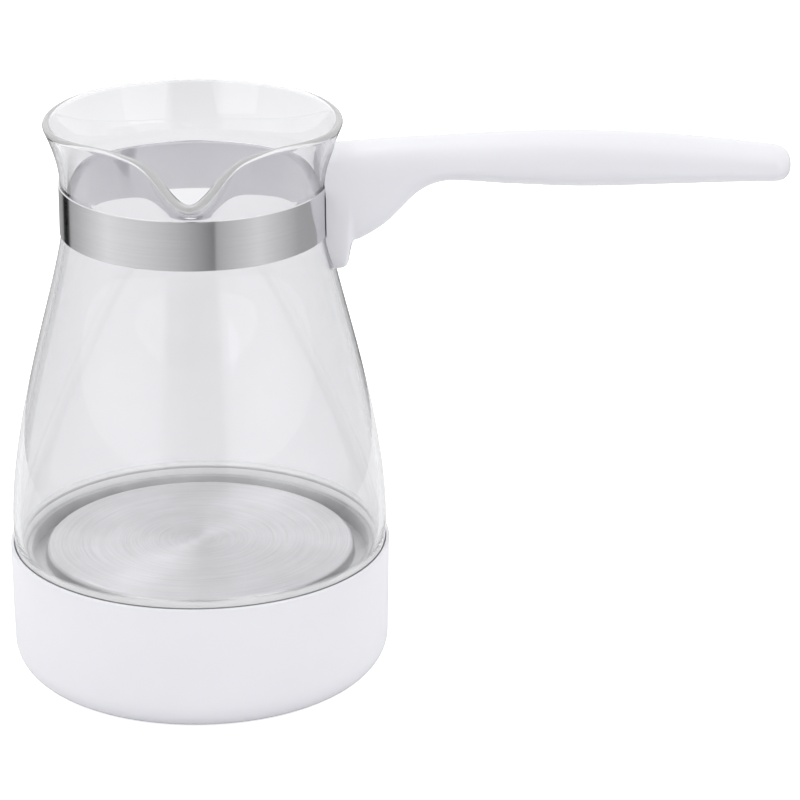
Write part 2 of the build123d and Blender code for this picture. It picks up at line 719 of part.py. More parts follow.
screw_head = 2.0
strap_screw_low = head_low - strip_sheet
with BuildPart() as control_screws:
    for turn, low in ((0, strap_screw_low), (180, head_low)):
        spot = (control_screw_circle * cos(radians(turn)), 0)
        with BuildSketch(Plane.XY.offset(low - screw_head)):
            with Locations(spot):
                Circle(control_screw_radius * 1.8)
        extrude(amount=screw_head)
        with BuildSketch(Plane.XY.offset(low)):
            with Locations(spot):
                Circle(control_screw_radius)
        extrude(amount=diffuser_low + 2.4 - low)
save(control_screws, "control_screws")

# ------------------------------------------------------------------ socket contacts
ring_low = skirt_low + contact_inset

with BuildPart() as live_pin:
    with BuildSketch(Plane.XY.offset(ring_low)):
        Circle(live_pin_radius)
    extrude(amount=socket_top - ring_low)
    fillet(live_pin.edges().sort_by(Axis.Z)[0], 1.2)
    with BuildSketch(Plane.XY.offset(socket_top)):
        Circle(live_pin_radius * 0.6)
    extrude(amount=floor_top - socket_top)
save(live_pin, "live_pin")

with BuildPart() as neutral_ring:
    with BuildSketch(Plane.XY.offset(ring_low)):
        Circle(neutral_outer)
        Circle(neutral_inner, mode=Mode.SUBTRACT)
    extrude(amount=socket_top - ring_low)
    with BuildSketch(Plane.XY.offset(socket_top)):
        with Locations((0, -tab_centre)):
            Rectangle(ring_tab, neutral_outer - neutral_inner)
    extrude(amount=floor_top - socket_top)
save(neutral_ring, "neutral_ring")

with BuildPart() as earth_ring:
    with BuildSketch(Plane.XY.offset(ring_low)):
        Circle(earth_outer)
        Circle(earth_inner, mode=Mode.SUBTRACT)
    extrude(amount=socket_top - ring_low)
    with BuildSketch(Plane.XY.offset(socket_top)):
        with Locations(((earth_inner + earth_outer) / 2, 0)):
            Rectangle(earth_outer - earth_inner, ring_tab)
    extrude(amount=floor_top - socket_top)
save(earth_ring, "earth_ring")

strap_x = control_screw_circle - 3.4
with BuildPart() as earth_strap:
    with BuildSketch(Plane.XZ):
        with BuildLine():
            half = strip_sheet / 2
            Polyline((earth_inner - 0.8, floor_top), (strap_x + half, floor_top),
                     (strap_x + half, head_low - strip_sheet),
                     (control_screw_circle + 3, head_low - strip_sheet),
                     (control_screw_circle + 3, head_low), (strap_x - half, head_low),
                     (strap_x - half, floor_top + strip_sheet), (earth_inner - 0.8, floor_top + strip_sheet),
                     (earth_inner - 0.8, floor_top))
        make_face()
    extrude(amount=strip_width / 2, both=True)
    with BuildSketch(Plane.XY.offset(head_low - strip_sheet)):
        with Locations((control_screw_circle, 0)):
            Circle(control_screw_radius + screw_gap)
    extrude(amount=strip_sheet, mode=Mode.SUBTRACT)
save(earth_strap, "earth_strap")

# ------------------------------------------------------------------ the two switched circuits
for side, circuit in ((1, "live"), (-1, "neutral")):
    lane = side * circuit_offset

    with BuildPart() as bimetal_disc:
        with BuildSketch(Plane.XZ.offset(-lane)):
            with BuildLine():
                rim = head_top - disc_dish - disc_sheet
                crown = rim + disc_dish
                TangentArc((0, crown), (disc_radius, rim), tangent=(1, 0))
                Line((disc_radius, rim), (disc_radius, rim + disc_sheet))
                TangentArc((0, crown + disc_sheet), (disc_radius, rim + disc_sheet), tangent=(1, 0))
                Line((0, crown), (0, crown + disc_sheet))
            make_face()
        revolve(axis=Axis((0, lane, 0), (0, 0, 1)))
    save(bimetal_disc, f"bimetal_disc_{circuit}")

    with BuildPart() as push_pin:
        with BuildSketch(Plane.XY.offset(pin_low)):
            with Locations((0, lane)):
                Circle(pin_radius)
        extrude(amount=pin_top - pin_low)
    save(push_pin, f"push_pin_{circuit}")

    with BuildPart() as contact_arm:
        with BuildSketch(Plane.XY.offset(arm_low)):
            with BuildLine():
                root_x = slip_gap - arm_root
                half = arm_width / 2
                tip = half - 1.0
                Polyline((root_x, lane - half), (arm_contact, lane - half), (arm_tip, lane - tip),
                         (arm_tip, lane + tip), (arm_contact, lane + half), (root_x, lane + half),
                         (root_x, lane - half))
            make_face()
        extrude(amount=arm_sheet)
    save(contact_arm, f"contact_arm_{circuit}")

    with BuildPart() as moving_contact:
        with BuildSketch(Plane.XY.offset(arm_top)):
            with Locations((arm_contact, lane)):
                Circle(contact_radius)
        extrude(amount=moving_contact_height)
    save(moving_contact, f"moving_contact_{circuit}")

    with BuildPart() as fixed_contact:
        with BuildSketch(Plane.XY.offset(arm_top + moving_contact_height)):
            with Locations((arm_contact, lane)):
                Circle(contact_radius)
        extrude(amount=fixed_contact_height)
    save(fixed_contact, f"fixed_contact_{circuit}")

    with BuildPart() as element_strap:
        with BuildSketch(Plane.XZ.offset(-lane)):
            with BuildLine():
                start = arm_contact - contact_radius - 1
                bend = head_radius - 2
                drop = leg_low - bead_height - 3.0
                Polyline((start, head_low), (bend, head_low), (bend + 2.2, drop), (leg_x + 3, drop),
                         (leg_x + 3, drop - strip_sheet), (bend + 1.6, drop - strip_sheet),
                         (bend - 0.6, head_low - strip_sheet), (start, head_low - strip_sheet),
                         (start, head_low))
            make_face()
        extrude(amount=strip_width / 2, both=True)
        with BuildSketch(Plane.XY.offset(drop - strip_sheet)):
            with Locations((leg_x, side * leg_y)):
                Circle(cold_pin_radius + close_gap / 2)
        extrude(amount=strip_sheet, mode=Mode.SUBTRACT)
    save(element_strap, f"element_strap_{circuit}")

    with BuildPart() as arm_terminal:
        inner_end = 0 if circuit == "live" else side * tab_centre
        post_x = -arm_root - terminal_post
        with BuildSketch(Plane.XY.offset(floor_top)):
            with Locations((0, (inner_end + lane) / 2)):
                Rectangle(strip_width, abs(lane - inner_end) + strip_width)
            with Locations((post_x / 2, lane)):
                Rectangle(-post_x, strip_width)
        extrude(amount=strip_sheet)
        with BuildSketch(Plane.XY.offset(floor_top)):
            with Locations((post_x + terminal_post / 2, lane)):
                Rectangle(terminal_post, strip_width)
        extrude(amount=arm_top - floor_top)
    save(arm_terminal, f"arm_terminal_{circuit}")
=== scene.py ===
"""Dresses the electric coffee pot: clear glass jug, brushed steel and glossy white plastic, in a studio."""

import json
import logging
import math
from dataclasses import dataclass, field
from enum import Enum
from typing import Callable, Sequence

import bmesh
import bpy
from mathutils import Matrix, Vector

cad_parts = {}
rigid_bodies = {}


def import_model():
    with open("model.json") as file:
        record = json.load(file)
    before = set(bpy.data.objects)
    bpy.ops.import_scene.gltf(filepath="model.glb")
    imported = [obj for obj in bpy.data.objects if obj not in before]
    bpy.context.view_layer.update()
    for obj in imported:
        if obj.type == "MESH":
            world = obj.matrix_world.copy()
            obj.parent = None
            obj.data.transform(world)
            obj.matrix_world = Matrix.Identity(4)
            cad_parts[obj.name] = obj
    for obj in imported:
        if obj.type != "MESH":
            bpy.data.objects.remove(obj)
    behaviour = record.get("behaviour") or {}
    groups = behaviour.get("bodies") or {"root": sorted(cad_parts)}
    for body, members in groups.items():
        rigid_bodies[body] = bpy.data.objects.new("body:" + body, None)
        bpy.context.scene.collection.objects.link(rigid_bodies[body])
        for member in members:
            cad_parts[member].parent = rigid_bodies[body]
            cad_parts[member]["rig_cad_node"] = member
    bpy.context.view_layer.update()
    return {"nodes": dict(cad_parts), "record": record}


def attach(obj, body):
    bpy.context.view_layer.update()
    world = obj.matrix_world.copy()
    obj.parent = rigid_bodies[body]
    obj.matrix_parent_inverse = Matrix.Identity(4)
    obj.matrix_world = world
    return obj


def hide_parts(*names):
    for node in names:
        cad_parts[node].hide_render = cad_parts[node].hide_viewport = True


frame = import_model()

logging.basicConfig(level=logging.INFO, format="%(message)s")
log = logging.getLogger("coffee_pot")

MM = 0.001
NEAR_AXIS = 0.0001  # millimetres
SAME_POINT = 0.000002  # metres
QUARTER_TURN = 0.25
NOISE_LOW, NOISE_HIGH = 0.3, 0.7
Section = Callable[[float], Vector]
Profile = Sequence[tuple[float, float]]
Colour = tuple[float, float, float]
Place = tuple[float, float, float]
Zones = tuple[tuple[float, float], ...]


# ---------------------------------------------------------------- curves and skins
class GuideCurve:
    """Smooth curve through points of rising x, in millimetres."""

    def __init__(self, *points: tuple[float, float]) -> None:
        """Keep the points and work out a slope at each.

        Args:
            points: (x, value) pairs in order of x.
        """
        self.points = points
        slopes = []
        for index in range(len(points)):
            before = points[max(index - 1, 0)]
            after = points[min(index + 1, len(points) - 1)]
            slopes.append((after[1] - before[1]) / (after[0] - before[0]))
        self.slopes = slopes

    def at(self, x: float) -> float:
        """Value of the curve at x.

        Args:
            x: place along the curve; it is held between the first and the last point.

        Returns:
            The value there.
        """
        x = min(max(x, self.points[0][0]), self.points[-1][0])
        index = 0
        while index < len(self.points) - 2 and x > self.points[index + 1][0]:
            index += 1
        (x0, y0), (x1, y1) = self.points[index], self.points[index + 1]
        span = x1 - x0
        t = (x - x0) / span
        m0, m1 = self.slopes[index] * span, self.slopes[index + 1] * span
        return ((2 * t**3 - 3 * t**2 + 1) * y0 + (t**3 - 2 * t**2 + t) * m0
                + (3 * t**2 - 2 * t**3) * y1 + (t**3 - t**2) * m1)


def signed_power(value: float, power: float) -> float:
    """Power that keeps the sign of value."""
    return math.copysign(abs(value) ** power, value)


def share_between(value: float, start: float, end: float) -> float:
    """Share of the way from start to end, held between 0 and 1."""
    return min(1.0, max(0.0, (value - start) / (end - start)))


def arc(centre: tuple[float, float], radius: float, start: float, end: float,
        steps: int) -> list[tuple[float, float]]:
    """Points of an arc, as (radius, height), from start to end in degrees; +radius is 0, +height 90."""
    turns = [math.radians(start + (end - start) * step / steps) for step in range(steps + 1)]
    return [(centre[0] + radius * math.cos(t), centre[1] + radius * math.sin(t)) for t in turns]


def clear_selection() -> None:
    """Leave edit mode and deselect everything."""
    if bpy.context.mode != "OBJECT":
        bpy.ops.object.mode_set(mode="OBJECT")
    bpy.ops.object.select_all(action="DESELECT")


class RingSkin:
    """Skin that is drawn ring by ring out of one primitive circle.

    Each point keeps its turn round the ring, so a new ring is extruded and then placed by a formula.
    """

    TURN = "turn"

    def __init__(self, name: str, count: int, first: Section) -> None:
        """Add the first ring.

        Args:
            name: name of the piece.
            count: points in each ring.
            first: gives the place of a point, in millimetres, from its turn in radians.
        """
        clear_selection()
        bpy.ops.mesh.primitive_circle_add(vertices=count, radius=1.0)
        self.piece = bpy.context.object
        self.piece.name = self.piece.data.name = name
        bpy.ops.object.mode_set(mode="EDIT")
        bpy.ops.mesh.select_all(action="SELECT")
        mesh = bmesh.from_edit_mesh(self.piece.data)
        layer = mesh.verts.layers.float.new(self.TURN)
        for point in mesh.verts:
            point[layer] = math.atan2(point.co.y, point.co.x)
        self._place(first)

    def _place(self, section: Section) -> None:
        """Move the selected ring to its section.

        Args:
            section: gives the place of a point, in millimetres, from its turn in radians.
        """
        mesh = bmesh.from_edit_mesh(self.piece.data)
        layer = mesh.verts.layers.float[self.TURN]
        for point in mesh.verts:
            if point.select:
                point.co = section(point[layer]) * MM
        bmesh.update_edit_mesh(self.piece.data)

    def add(self, section: Section) -> None:
        """Extrude the last ring to a new section."""
        bpy.ops.mesh.extrude_region_move()
        self._place(section)

    def shut(self) -> None:
        """Draw the last ring together in its middle."""
        bpy.ops.mesh.merge(type="CENTER")

    def select_open(self) -> None:
        """Select the rings that are open."""
        bpy.ops.mesh.select_all(action="DESELECT")
        bpy.ops.mesh.select_non_manifold(extend=False, use_wire=False, use_boundary=True,
                                         use_multi_face=False, use_non_contiguous=False, use_verts=False)

    def bridge(self) -> None:
        """Join the first ring to the last one."""
        self.select_open()
        bpy.ops.mesh.bridge_edge_loops()

    def finish(self, smooth_angle: float) -> bpy.types.Object:
        """Merge, turn the faces outwards and shade.

        Args:
            smooth_angle: edges sharper than this stay crisp, in degrees.

        Returns:
            The finished object.
        """
        bpy.ops.mesh.select_all(action="SELECT")
        bpy.ops.mesh.remove_doubles(threshold=SAME_POINT)
        bpy.ops.mesh.normals_make_consistent(inside=False)
        bpy.ops.object.mode_set(mode="OBJECT")
        self.piece.data.attributes.remove(self.piece.data.attributes[self.TURN])
        bpy.ops.object.shade_smooth_by_angle(angle=math.radians(smooth_angle))
        return self.piece


def circle(radius: float, height: float) -> Section:
    """Level ring about the pot's axis."""
    return lambda turn: Vector((radius * math.cos(turn), radius * math.sin(turn), height))


def turned(name: str, profile: Profile, count: int, smooth_angle: float) -> bpy.types.Object:
    """Piece turned about the pot's axis.

    Args:
        name: name of the piece.
        profile: closed outline as (radius, height) pairs; a radius of 0 at both ends closes on the axis.
        count: points round the piece.
        smooth_angle: edges sharper than this stay crisp, in degrees.

    Returns:
        The finished object.
    """
    on_axis = profile[0][0] == 0
    rings = profile[1:-1] if on_axis else profile
    skin = RingSkin(name, count, circle(*rings[0]))
    if on_axis:
        skin.add(circle(NEAR_AXIS, profile[0][1]))
        skin.shut()
        skin.select_open()
    for radius, height in rings[1:]:
        skin.add(circle(radius, height))
    if on_axis:
        skin.add(circle(NEAR_AXIS, profile[-1][1]))
        skin.shut()
    else:
        skin.bridge()
    return skin.finish(smooth_angle)


# ---------------------------------------------------------------- nodes
class NodeDesk:
    """Short hand for adding and joining nodes in one tree."""

    def __init__(self, tree: bpy.types.NodeTree) -> None:
        """Start at a tree with a node of coordinates."""
        self.tree = tree
        self.coordinates = self.add("ShaderNodeTexCoord")

    def add(self, kind: str, **values: object) -> bpy.types.Node:
        """Add a node and set its properties.

        Args:
            kind: Blender's name of the node.
            values: properties of the node.

        Returns:
            The node.
        """
        node = self.tree.nodes.new(kind)
        for key, value in values.items():
            setattr(node, key, value)
        return node

    def link(self, start: bpy.types.NodeSocket, end: bpy.types.NodeSocket) -> None:
        """Join two sockets."""
        self.tree.links.new(start, end)

    def feed(self, node: bpy.types.Node, *inputs: object) -> bpy.types.Node:
        """Fill a node's first inputs.

        Args:
            node: the node.
            inputs: a socket to join or a plain value, for each input in order.

        Returns:
            The same node.
        """
        for socket, source in zip(node.inputs, inputs):
            if isinstance(source, bpy.types.NodeSocket):
                self.link(source, socket)
            else:
                socket.default_value = source
        return node

    def number(self, operation: str, *inputs: object) -> bpy.types.NodeSocket:
        """Result of a Math node."""
        return self.feed(self.add("ShaderNodeMath", operation=operation), *inputs).outputs["Value"]

    def vector(self, operation: str, *inputs: object) -> bpy.types.Node:
        """Vector Math node with its inputs filled."""
        return self.feed(self.add("ShaderNodeVectorMath", operation=operation), *inputs)

    def mapped(self, value: bpy.types.NodeSocket, old: tuple[float, float],
               new: tuple[float, float]) -> bpy.types.NodeSocket:
        """Map a value from the ends of its old range onto the ends of a new one."""
        return self.feed(self.add("ShaderNodeMapRange"), value, *old, *new).outputs["Result"]

    def spread(self, value: bpy.types.NodeSocket, low: float, high: float) -> bpy.types.NodeSocket:
        """Map noise from its usual range onto low to high."""
        return self.mapped(value, (NOISE_LOW, NOISE_HIGH), (low, high))

    def scaled(self, scale: Place) -> bpy.types.NodeSocket:
        """Object coordinates times scale, per metre.

        Args:
            scale: factor along each axis.

        Returns:
            The scaled coordinates' socket.
        """
        mapping = self.add("ShaderNodeMapping")
        mapping.inputs["Scale"].default_value = scale
        self.link(self.coordinates.outputs["Object"], mapping.inputs["Vector"])
        return mapping.outputs["Vector"]

    def noise(self, vector: bpy.types.NodeSocket, scale: float, detail: float = 3.0) -> bpy.types.NodeSocket:
        """Noise value between 0 and 1.

        Args:
            vector: coordinates that it reads.
            scale: its scale.
            detail: octaves.

        Returns:
            The noise's value socket.
        """
        node = self.add("ShaderNodeTexNoise")
        node.inputs["Scale"].default_value = scale
        node.inputs["Detail"].default_value = detail
        self.link(vector, node.inputs["Vector"])
        return node.outputs["Fac"]

    def brightness_round(self, place: bpy.types.NodeSocket, zones: Zones) -> bpy.types.NodeSocket:
        """Brightness that changes with the turn round the pot.

        Args:
            place: place or direction that it reads.
            zones: turn in degrees, from behind the pot towards +X, and brightness; the first is at -180.

        Returns:
            The brightness, as a colour socket.
        """
        parts = self.feed(self.add("ShaderNodeSeparateXYZ"), place)
        turn = self.number("ARCTAN2", parts.outputs["X"], parts.outputs["Y"])
        share = self.number("MULTIPLY_ADD", turn, 1 / math.tau, 0.5)
        ramp = self.feed(self.add("ShaderNodeValToRGB"), share)
        stops = ramp.color_ramp.elements
        for degrees, level in zones:
            stop = stops[0] if degrees == -180 else stops.new(degrees / 360 + 0.5)
            stop.color = (level, level, level, 1)
        stops[-1].color = stops[0].color
        return ramp.outputs["Color"]


class FinishDesk(NodeDesk):
    """Nodes of one material with a Principled shader."""

    def __init__(self, name: str) -> None:
        """Start a material.

        Args:
            name: name of the material.
        """
        self.material = bpy.data.materials.new(name)
        self.material.use_nodes = True
        super().__init__(self.material.node_tree)
        self.shader = self.tree.nodes["Principled BSDF"]

    def set(self, **values: object) -> None:
        """Set inputs of the shader; an underscore stands for a space in an input's name."""
        for name, value in values.items():
            self.shader.inputs[name.replace("_", " ")].default_value = value

    def drive(self, value: bpy.types.NodeSocket, name: str) -> None:
        """Let a value drive an input of the shader."""
        self.link(value, self.shader.inputs[name])

    def colours(self, value: bpy.types.NodeSocket, dark: Colour, light: Colour) -> None:
        """Drive the base colour by a value.

        Args:
            value: noise in its usual range.
            dark: colour at the range's low end.
            light: colour at its high end.
        """
        ramp = self.feed(self.add("ShaderNodeValToRGB"), value)
        for stop, position, colour in zip(ramp.color_ramp.elements, (NOISE_LOW, NOISE_HIGH), (dark, light)):
            stop.position = position
            stop.color = (*colour, 1)
        self.drive(ramp.outputs["Color"], "Base Color")

    def bump(self, height: bpy.types.NodeSocket, strength: float, distance: float) -> None:
        """Raise the surface by a value.

        Args:
            height: the value.
            strength: share of the full effect.
            distance: height of the relief in metres.
        """
        node = self.add("ShaderNodeBump")
        node.inputs["Strength"].default_value = strength
        node.inputs["Distance"].default_value = distance
        self.link(height, node.inputs["Height"])
        self.drive(node.outputs["Normal"], "Normal")


def darker(colour: Colour, share: float) -> Colour:
    """A colour with each channel times share."""
    return tuple(channel * share for channel in colour)


# ---------------------------------------------------------------- finishes
class Grain(Enum):
    """Which way the fine lines of a metal run."""

    ROUND_THE_SIDE = "round_the_side"
    RINGS = "rings"
    NONE = "none"


@dataclass(frozen=True)
class Plastic:
    """Moulded plastic with a fine skin and slight unevenness of colour."""

    name: str
    colour: Colour
    roughness: float
    skin_scale: float = 700.0
    skin_depth: float = 0.000006
    shade: float = 0.97
    coat: float = 0.0
    coat_roughness: float = 0.08
    ior: float = 1.5
    cloud_scale: float = 28.0
    skin_detail: float = 2.0
    skin_strength: float = 0.35
    gloss_low: float = 0.9
    gloss_high: float = 1.15

    def make(self) -> bpy.types.Material:
        """Build the material.

        Returns:
            The material.
        """
        desk = FinishDesk(self.name)
        plain = desk.coordinates.outputs["Object"]
        desk.colours(desk.noise(plain, self.cloud_scale), darker(self.colour, self.shade), self.colour)
        fine = desk.noise(plain, self.skin_scale, self.skin_detail)
        desk.drive(desk.spread(fine, self.roughness * self.gloss_low, self.roughness * self.gloss_high),
                   "Roughness")
        desk.bump(fine, self.skin_strength, self.skin_depth)
        desk.set(Coat_Weight=self.coat, Coat_Roughness=self.coat_roughness, IOR=self.ior)
        return desk.material


@dataclass(frozen=True)
class Metal:
    """Bare metal, plain or with fine lines."""

    name: str
    colour: Colour
    roughness: float
    grain: Grain = Grain.NONE
    lines: float = 5000.0
    contrast: float = 0.88
    anisotropy: float = 0.0
    relief: float = 0.000004
    relief_strength: float = 0.1
    smudges: float = 0.0
    smudge_scale: float = 70.0
    smudge_detail: float = 8.0
    smudge_share: float = 0.5
    side_stretch: float = 9.0
    side_detail: float = 2.0
    ring_stretch: float = 1.2
    ring_detail: float = 6.0
    speckle_scale: float = 260.0
    speckle_detail: float = 4.0
    gloss_dull: float = 1.15
    gloss_bright: float = 0.85

    def ring_lines(self, desk: FinishDesk) -> bpy.types.NodeSocket:
        """Lines in rings about the pot's axis, as long arcs.

        Args:
            desk: nodes of the material.

        Returns:
            The lines, as a noise value.
        """
        flat = desk.vector("MULTIPLY", desk.coordinates.outputs["Object"], (1.0, 1.0, 0.0)).outputs["Vector"]
        reach = desk.vector("LENGTH", flat).outputs["Value"]
        outward = desk.vector("NORMALIZE", flat).outputs["Vector"]
        lift = desk.add("ShaderNodeCombineXYZ")
        desk.link(desk.number("MULTIPLY", reach, self.lines), lift.inputs["Z"])
        arcs = desk.vector("MULTIPLY_ADD", outward, (self.ring_stretch, self.ring_stretch, 0.0),
                           lift.outputs["Vector"])
        return desk.noise(arcs.outputs["Vector"], 1.0, self.ring_detail)

    def fine_lines(self, desk: FinishDesk) -> bpy.types.NodeSocket:
        """Lines or speckles of the bare metal.

        Args:
            desk: nodes of the material.

        Returns:
            The lines, as a noise value.
        """
        if self.grain is Grain.ROUND_THE_SIDE:
            along = desk.scaled((self.side_stretch, self.side_stretch, self.lines))
            return desk.noise(along, 1.0, self.side_detail)
        if self.grain is Grain.RINGS:
            return self.ring_lines(desk)
        return desk.noise(desk.coordinates.outputs["Object"], self.speckle_scale, self.speckle_detail)

    def smudged(self, desk: FinishDesk, lines: bpy.types.NodeSocket,
                gloss: bpy.types.NodeSocket) -> tuple[bpy.types.NodeSocket, bpy.types.NodeSocket]:
        """Cloud the lines and the gloss with faint smudges.

        Args:
            desk: nodes of the material.
            lines: the lines, as a noise value.
            gloss: roughness without smudges.

        Returns:
            The clouded lines and the clouded roughness.
        """
        clouds = desk.noise(desk.coordinates.outputs["Object"], self.smudge_scale, self.smudge_detail)
        cloudy = desk.spread(clouds, 1.0 - self.smudges, 1.0 + self.smudges)
        worn = desk.number("MULTIPLY", gloss, cloudy)
        clear_share = desk.number("MULTIPLY", lines, 1.0 - self.smudge_share)
        return desk.number("MULTIPLY_ADD", clouds, self.smudge_share, clear_share), worn

    def make(self) -> bpy.types.Material:
        """Build the material.

        Returns:
            The material.
        """
        desk = FinishDesk(self.name)
        desk.set(Metallic=1.0)
        lines = self.fine_lines(desk)
        gloss = desk.spread(lines, self.roughness * self.gloss_dull, self.roughness * self.gloss_bright)
        if self.smudges:
            lines, gloss = self.smudged(desk, lines, gloss)
        desk.colours(lines, darker(self.colour, self.contrast), self.colour)
        desk.drive(gloss, "Roughness")
        desk.bump(lines, self.relief_strength, self.relief)
        if self.anisotropy:
            desk.set(Anisotropic=self.anisotropy, Anisotropic_Rotation=QUARTER_TURN)
            tangent = desk.add("ShaderNodeTangent", direction_type="RADIAL", axis="Z")
            desk.drive(tangent.outputs["Tangent"], "Tangent")
        return desk.material


@dataclass(frozen=True)
class ClearGlass:
    """Blown glass with a faint waviness."""

    name: str = "jug_glass"
    colour: Colour = (0.89, 0.89, 0.9)
    ior: float = 1.47
    clearness: float = 1.0
    wave_stretch: Place = (1.0, 1.0, 0.45)
    wave_scale: float = 45.0
    wave_shade: float = 0.995
    wave_strength: float = 0.05
    wave_depth: float = 0.0002

    def make(self) -> bpy.types.Material:
        """Build the material.

        Returns:
            The material.
        """
        desk = FinishDesk(self.name)
        desk.set(Transmission_Weight=self.clearness, Roughness=0.0, IOR=self.ior)
        wave = desk.noise(desk.scaled(self.wave_stretch), self.wave_scale, detail=1.0)
        desk.colours(wave, darker(self.colour, self.wave_shade), self.colour)
        desk.bump(wave, self.wave_strength, self.wave_depth)
        return desk.material


@dataclass(frozen=True)
class Rubber:
    """Milky silicone rubber that lets some light through."""

    name: str = "seal_rubber"
    colour: Colour = (0.92, 0.92, 0.93)
    roughness: float = 0.4
    skin_scale: float = 330.0
    skin_depth: float = 0.00001
    shade: float = 0.45
    clearness: float = 0.3

    def make(self) -> bpy.types.Material:
        """Build the material.

        Returns:
            The material.
        """
        material = Plastic(self.name, self.colour, self.roughness, self.skin_scale, self.skin_depth,
                           self.shade).make()
        shader = material.node_tree.nodes["Principled BSDF"]
        shader.inputs["Transmission Weight"].default_value = self.clearness
        return material


WHITE: Colour = (0.745, 0.745, 0.78)
# Rim and a low band of the bell: whitish, partly clear glass, a painted highlight for the bright light of the
# rounded rim and the thick foot.
RIM_PAINTED_HIGHLIGHT_GLASS = ClearGlass("rim_painted_highlight_glass", (0.98, 0.98, 0.985), clearness=0.56)
# Inside of the foot: nearly white glass, painted light for the bright ring that the thick glass foot shows.
FOOT_PAINTED_LIGHT_GLASS = ClearGlass("foot_painted_light_glass", (0.97, 0.97, 0.975), clearness=0.08)
# Outside of the foot: dark glass, painted shade of the narrow gap where the foot sits in the base.
FOOT_PAINTED_SHADE_GLASS = ClearGlass("foot_painted_shade_glass", (0.27, 0.27, 0.28), clearness=0.08)
# Inside of the band: a lighter copy of the band's steel, painted light that brightens the neck seen through
# the glass.
BAND_INSIDE_PAINTED_LIGHT = Metal("band_inside_painted_light_steel", (0.985, 0.98, 0.99), roughness=0.16, grain=Grain.ROUND_THE_SIDE,
                    lines=6500.0, contrast=0.95, anisotropy=0.85, relief=0.0000005)

FINISHES = {
    "jug_glass": ClearGlass(),
    "white_gloss": Plastic("white_gloss", WHITE, roughness=0.32, coat=0.35),
    "white_cover": Plastic("white_cover", (0.76, 0.76, 0.78), roughness=0.5, skin_scale=500.0,
                           skin_depth=0.00002),
    "band_steel": Metal("band_steel", (0.74, 0.735, 0.755), roughness=0.16, grain=Grain.ROUND_THE_SIDE,
                        lines=6500.0, contrast=0.93, anisotropy=0.85, relief=0.0000015),
    "plate_steel": Metal("plate_steel", (0.83, 0.825, 0.84), roughness=0.4, grain=Grain.RINGS,
                         lines=2300.0, contrast=0.78, anisotropy=0.85, smudges=0.06),
    "seal_rubber": Rubber(),
    "diffuser_aluminium": Metal("diffuser_aluminium", (0.74, 0.75, 0.76), roughness=0.42),
    "element_sheath": Metal("element_sheath", (0.36, 0.34, 0.33), roughness=0.38, contrast=0.7),
    "ceramic": Plastic("ceramic", (0.78, 0.75, 0.68), roughness=0.7, skin_scale=350.0, skin_depth=0.00002,
                       shade=0.9),
    "zinc_steel": Metal("zinc_steel", (0.63, 0.64, 0.66), roughness=0.3),
    "control_moulding": Plastic("control_moulding", (0.035, 0.035, 0.038), roughness=0.45,
                                skin_scale=450.0, skin_depth=0.00002, shade=0.8),
    "contact_brass": Metal("contact_brass", (0.76, 0.58, 0.27), roughness=0.26),
    "contact_silver": Metal("contact_silver", (0.80, 0.79, 0.77), roughness=0.18),
    "bimetal": Metal("bimetal", (0.50, 0.47, 0.44), roughness=0.34),
}


class Paintshop:
    """Makes each finish once and puts it on pieces."""

    def __init__(self) -> None:
        """Start with no material made."""
        self.made: dict[str, bpy.types.Material] = {}

    def material(self, slot: str) -> bpy.types.Material:
        """Material of a slot, made at its first use.

        Args:
            slot: name of the material slot in the record.

        Returns:
            The material.
        """
        if slot not in self.made:
            self.made[slot] = FINISHES[slot].make()
        return self.made[slot]

    def dress(self, piece: bpy.types.Object, slot: str) -> None:
        """Give a piece the finish of a slot.

        Args:
            piece: the object.
            slot: name of the material slot in the record.
        """
        piece.data.materials.clear()
        piece.data.materials.append(self.material(slot))

    def dress_cad(self) -> None:
        """Give every carried-over node the finish that its record names."""
        for subpart in frame["record"]["subparts"]:
            self.dress(frame["nodes"][subpart["node"]], subpart["material_slot"])


def settle(piece: bpy.types.Object, *nodes: str, body: str = "pot") -> None:
    """Let a piece stand for its nodes and ride on their body.

    Args:
        piece: the new piece.
        nodes: nodes that it stands for.
        body: body that it rides on.
    """
    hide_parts(*nodes)
    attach(piece, body)
    log.info("%s: %d faces, stands for %s", piece.name, len(piece.data.polygons), ", ".join(nodes))


# ---------------------------------------------------------------- sub-assemblies
class JugGlass(Enum):
    """Glasses of the jug, by their place in its list of materials."""

    RIM = 1
    FOOT_INSIDE = 2
    FOOT_OUTSIDE = 3


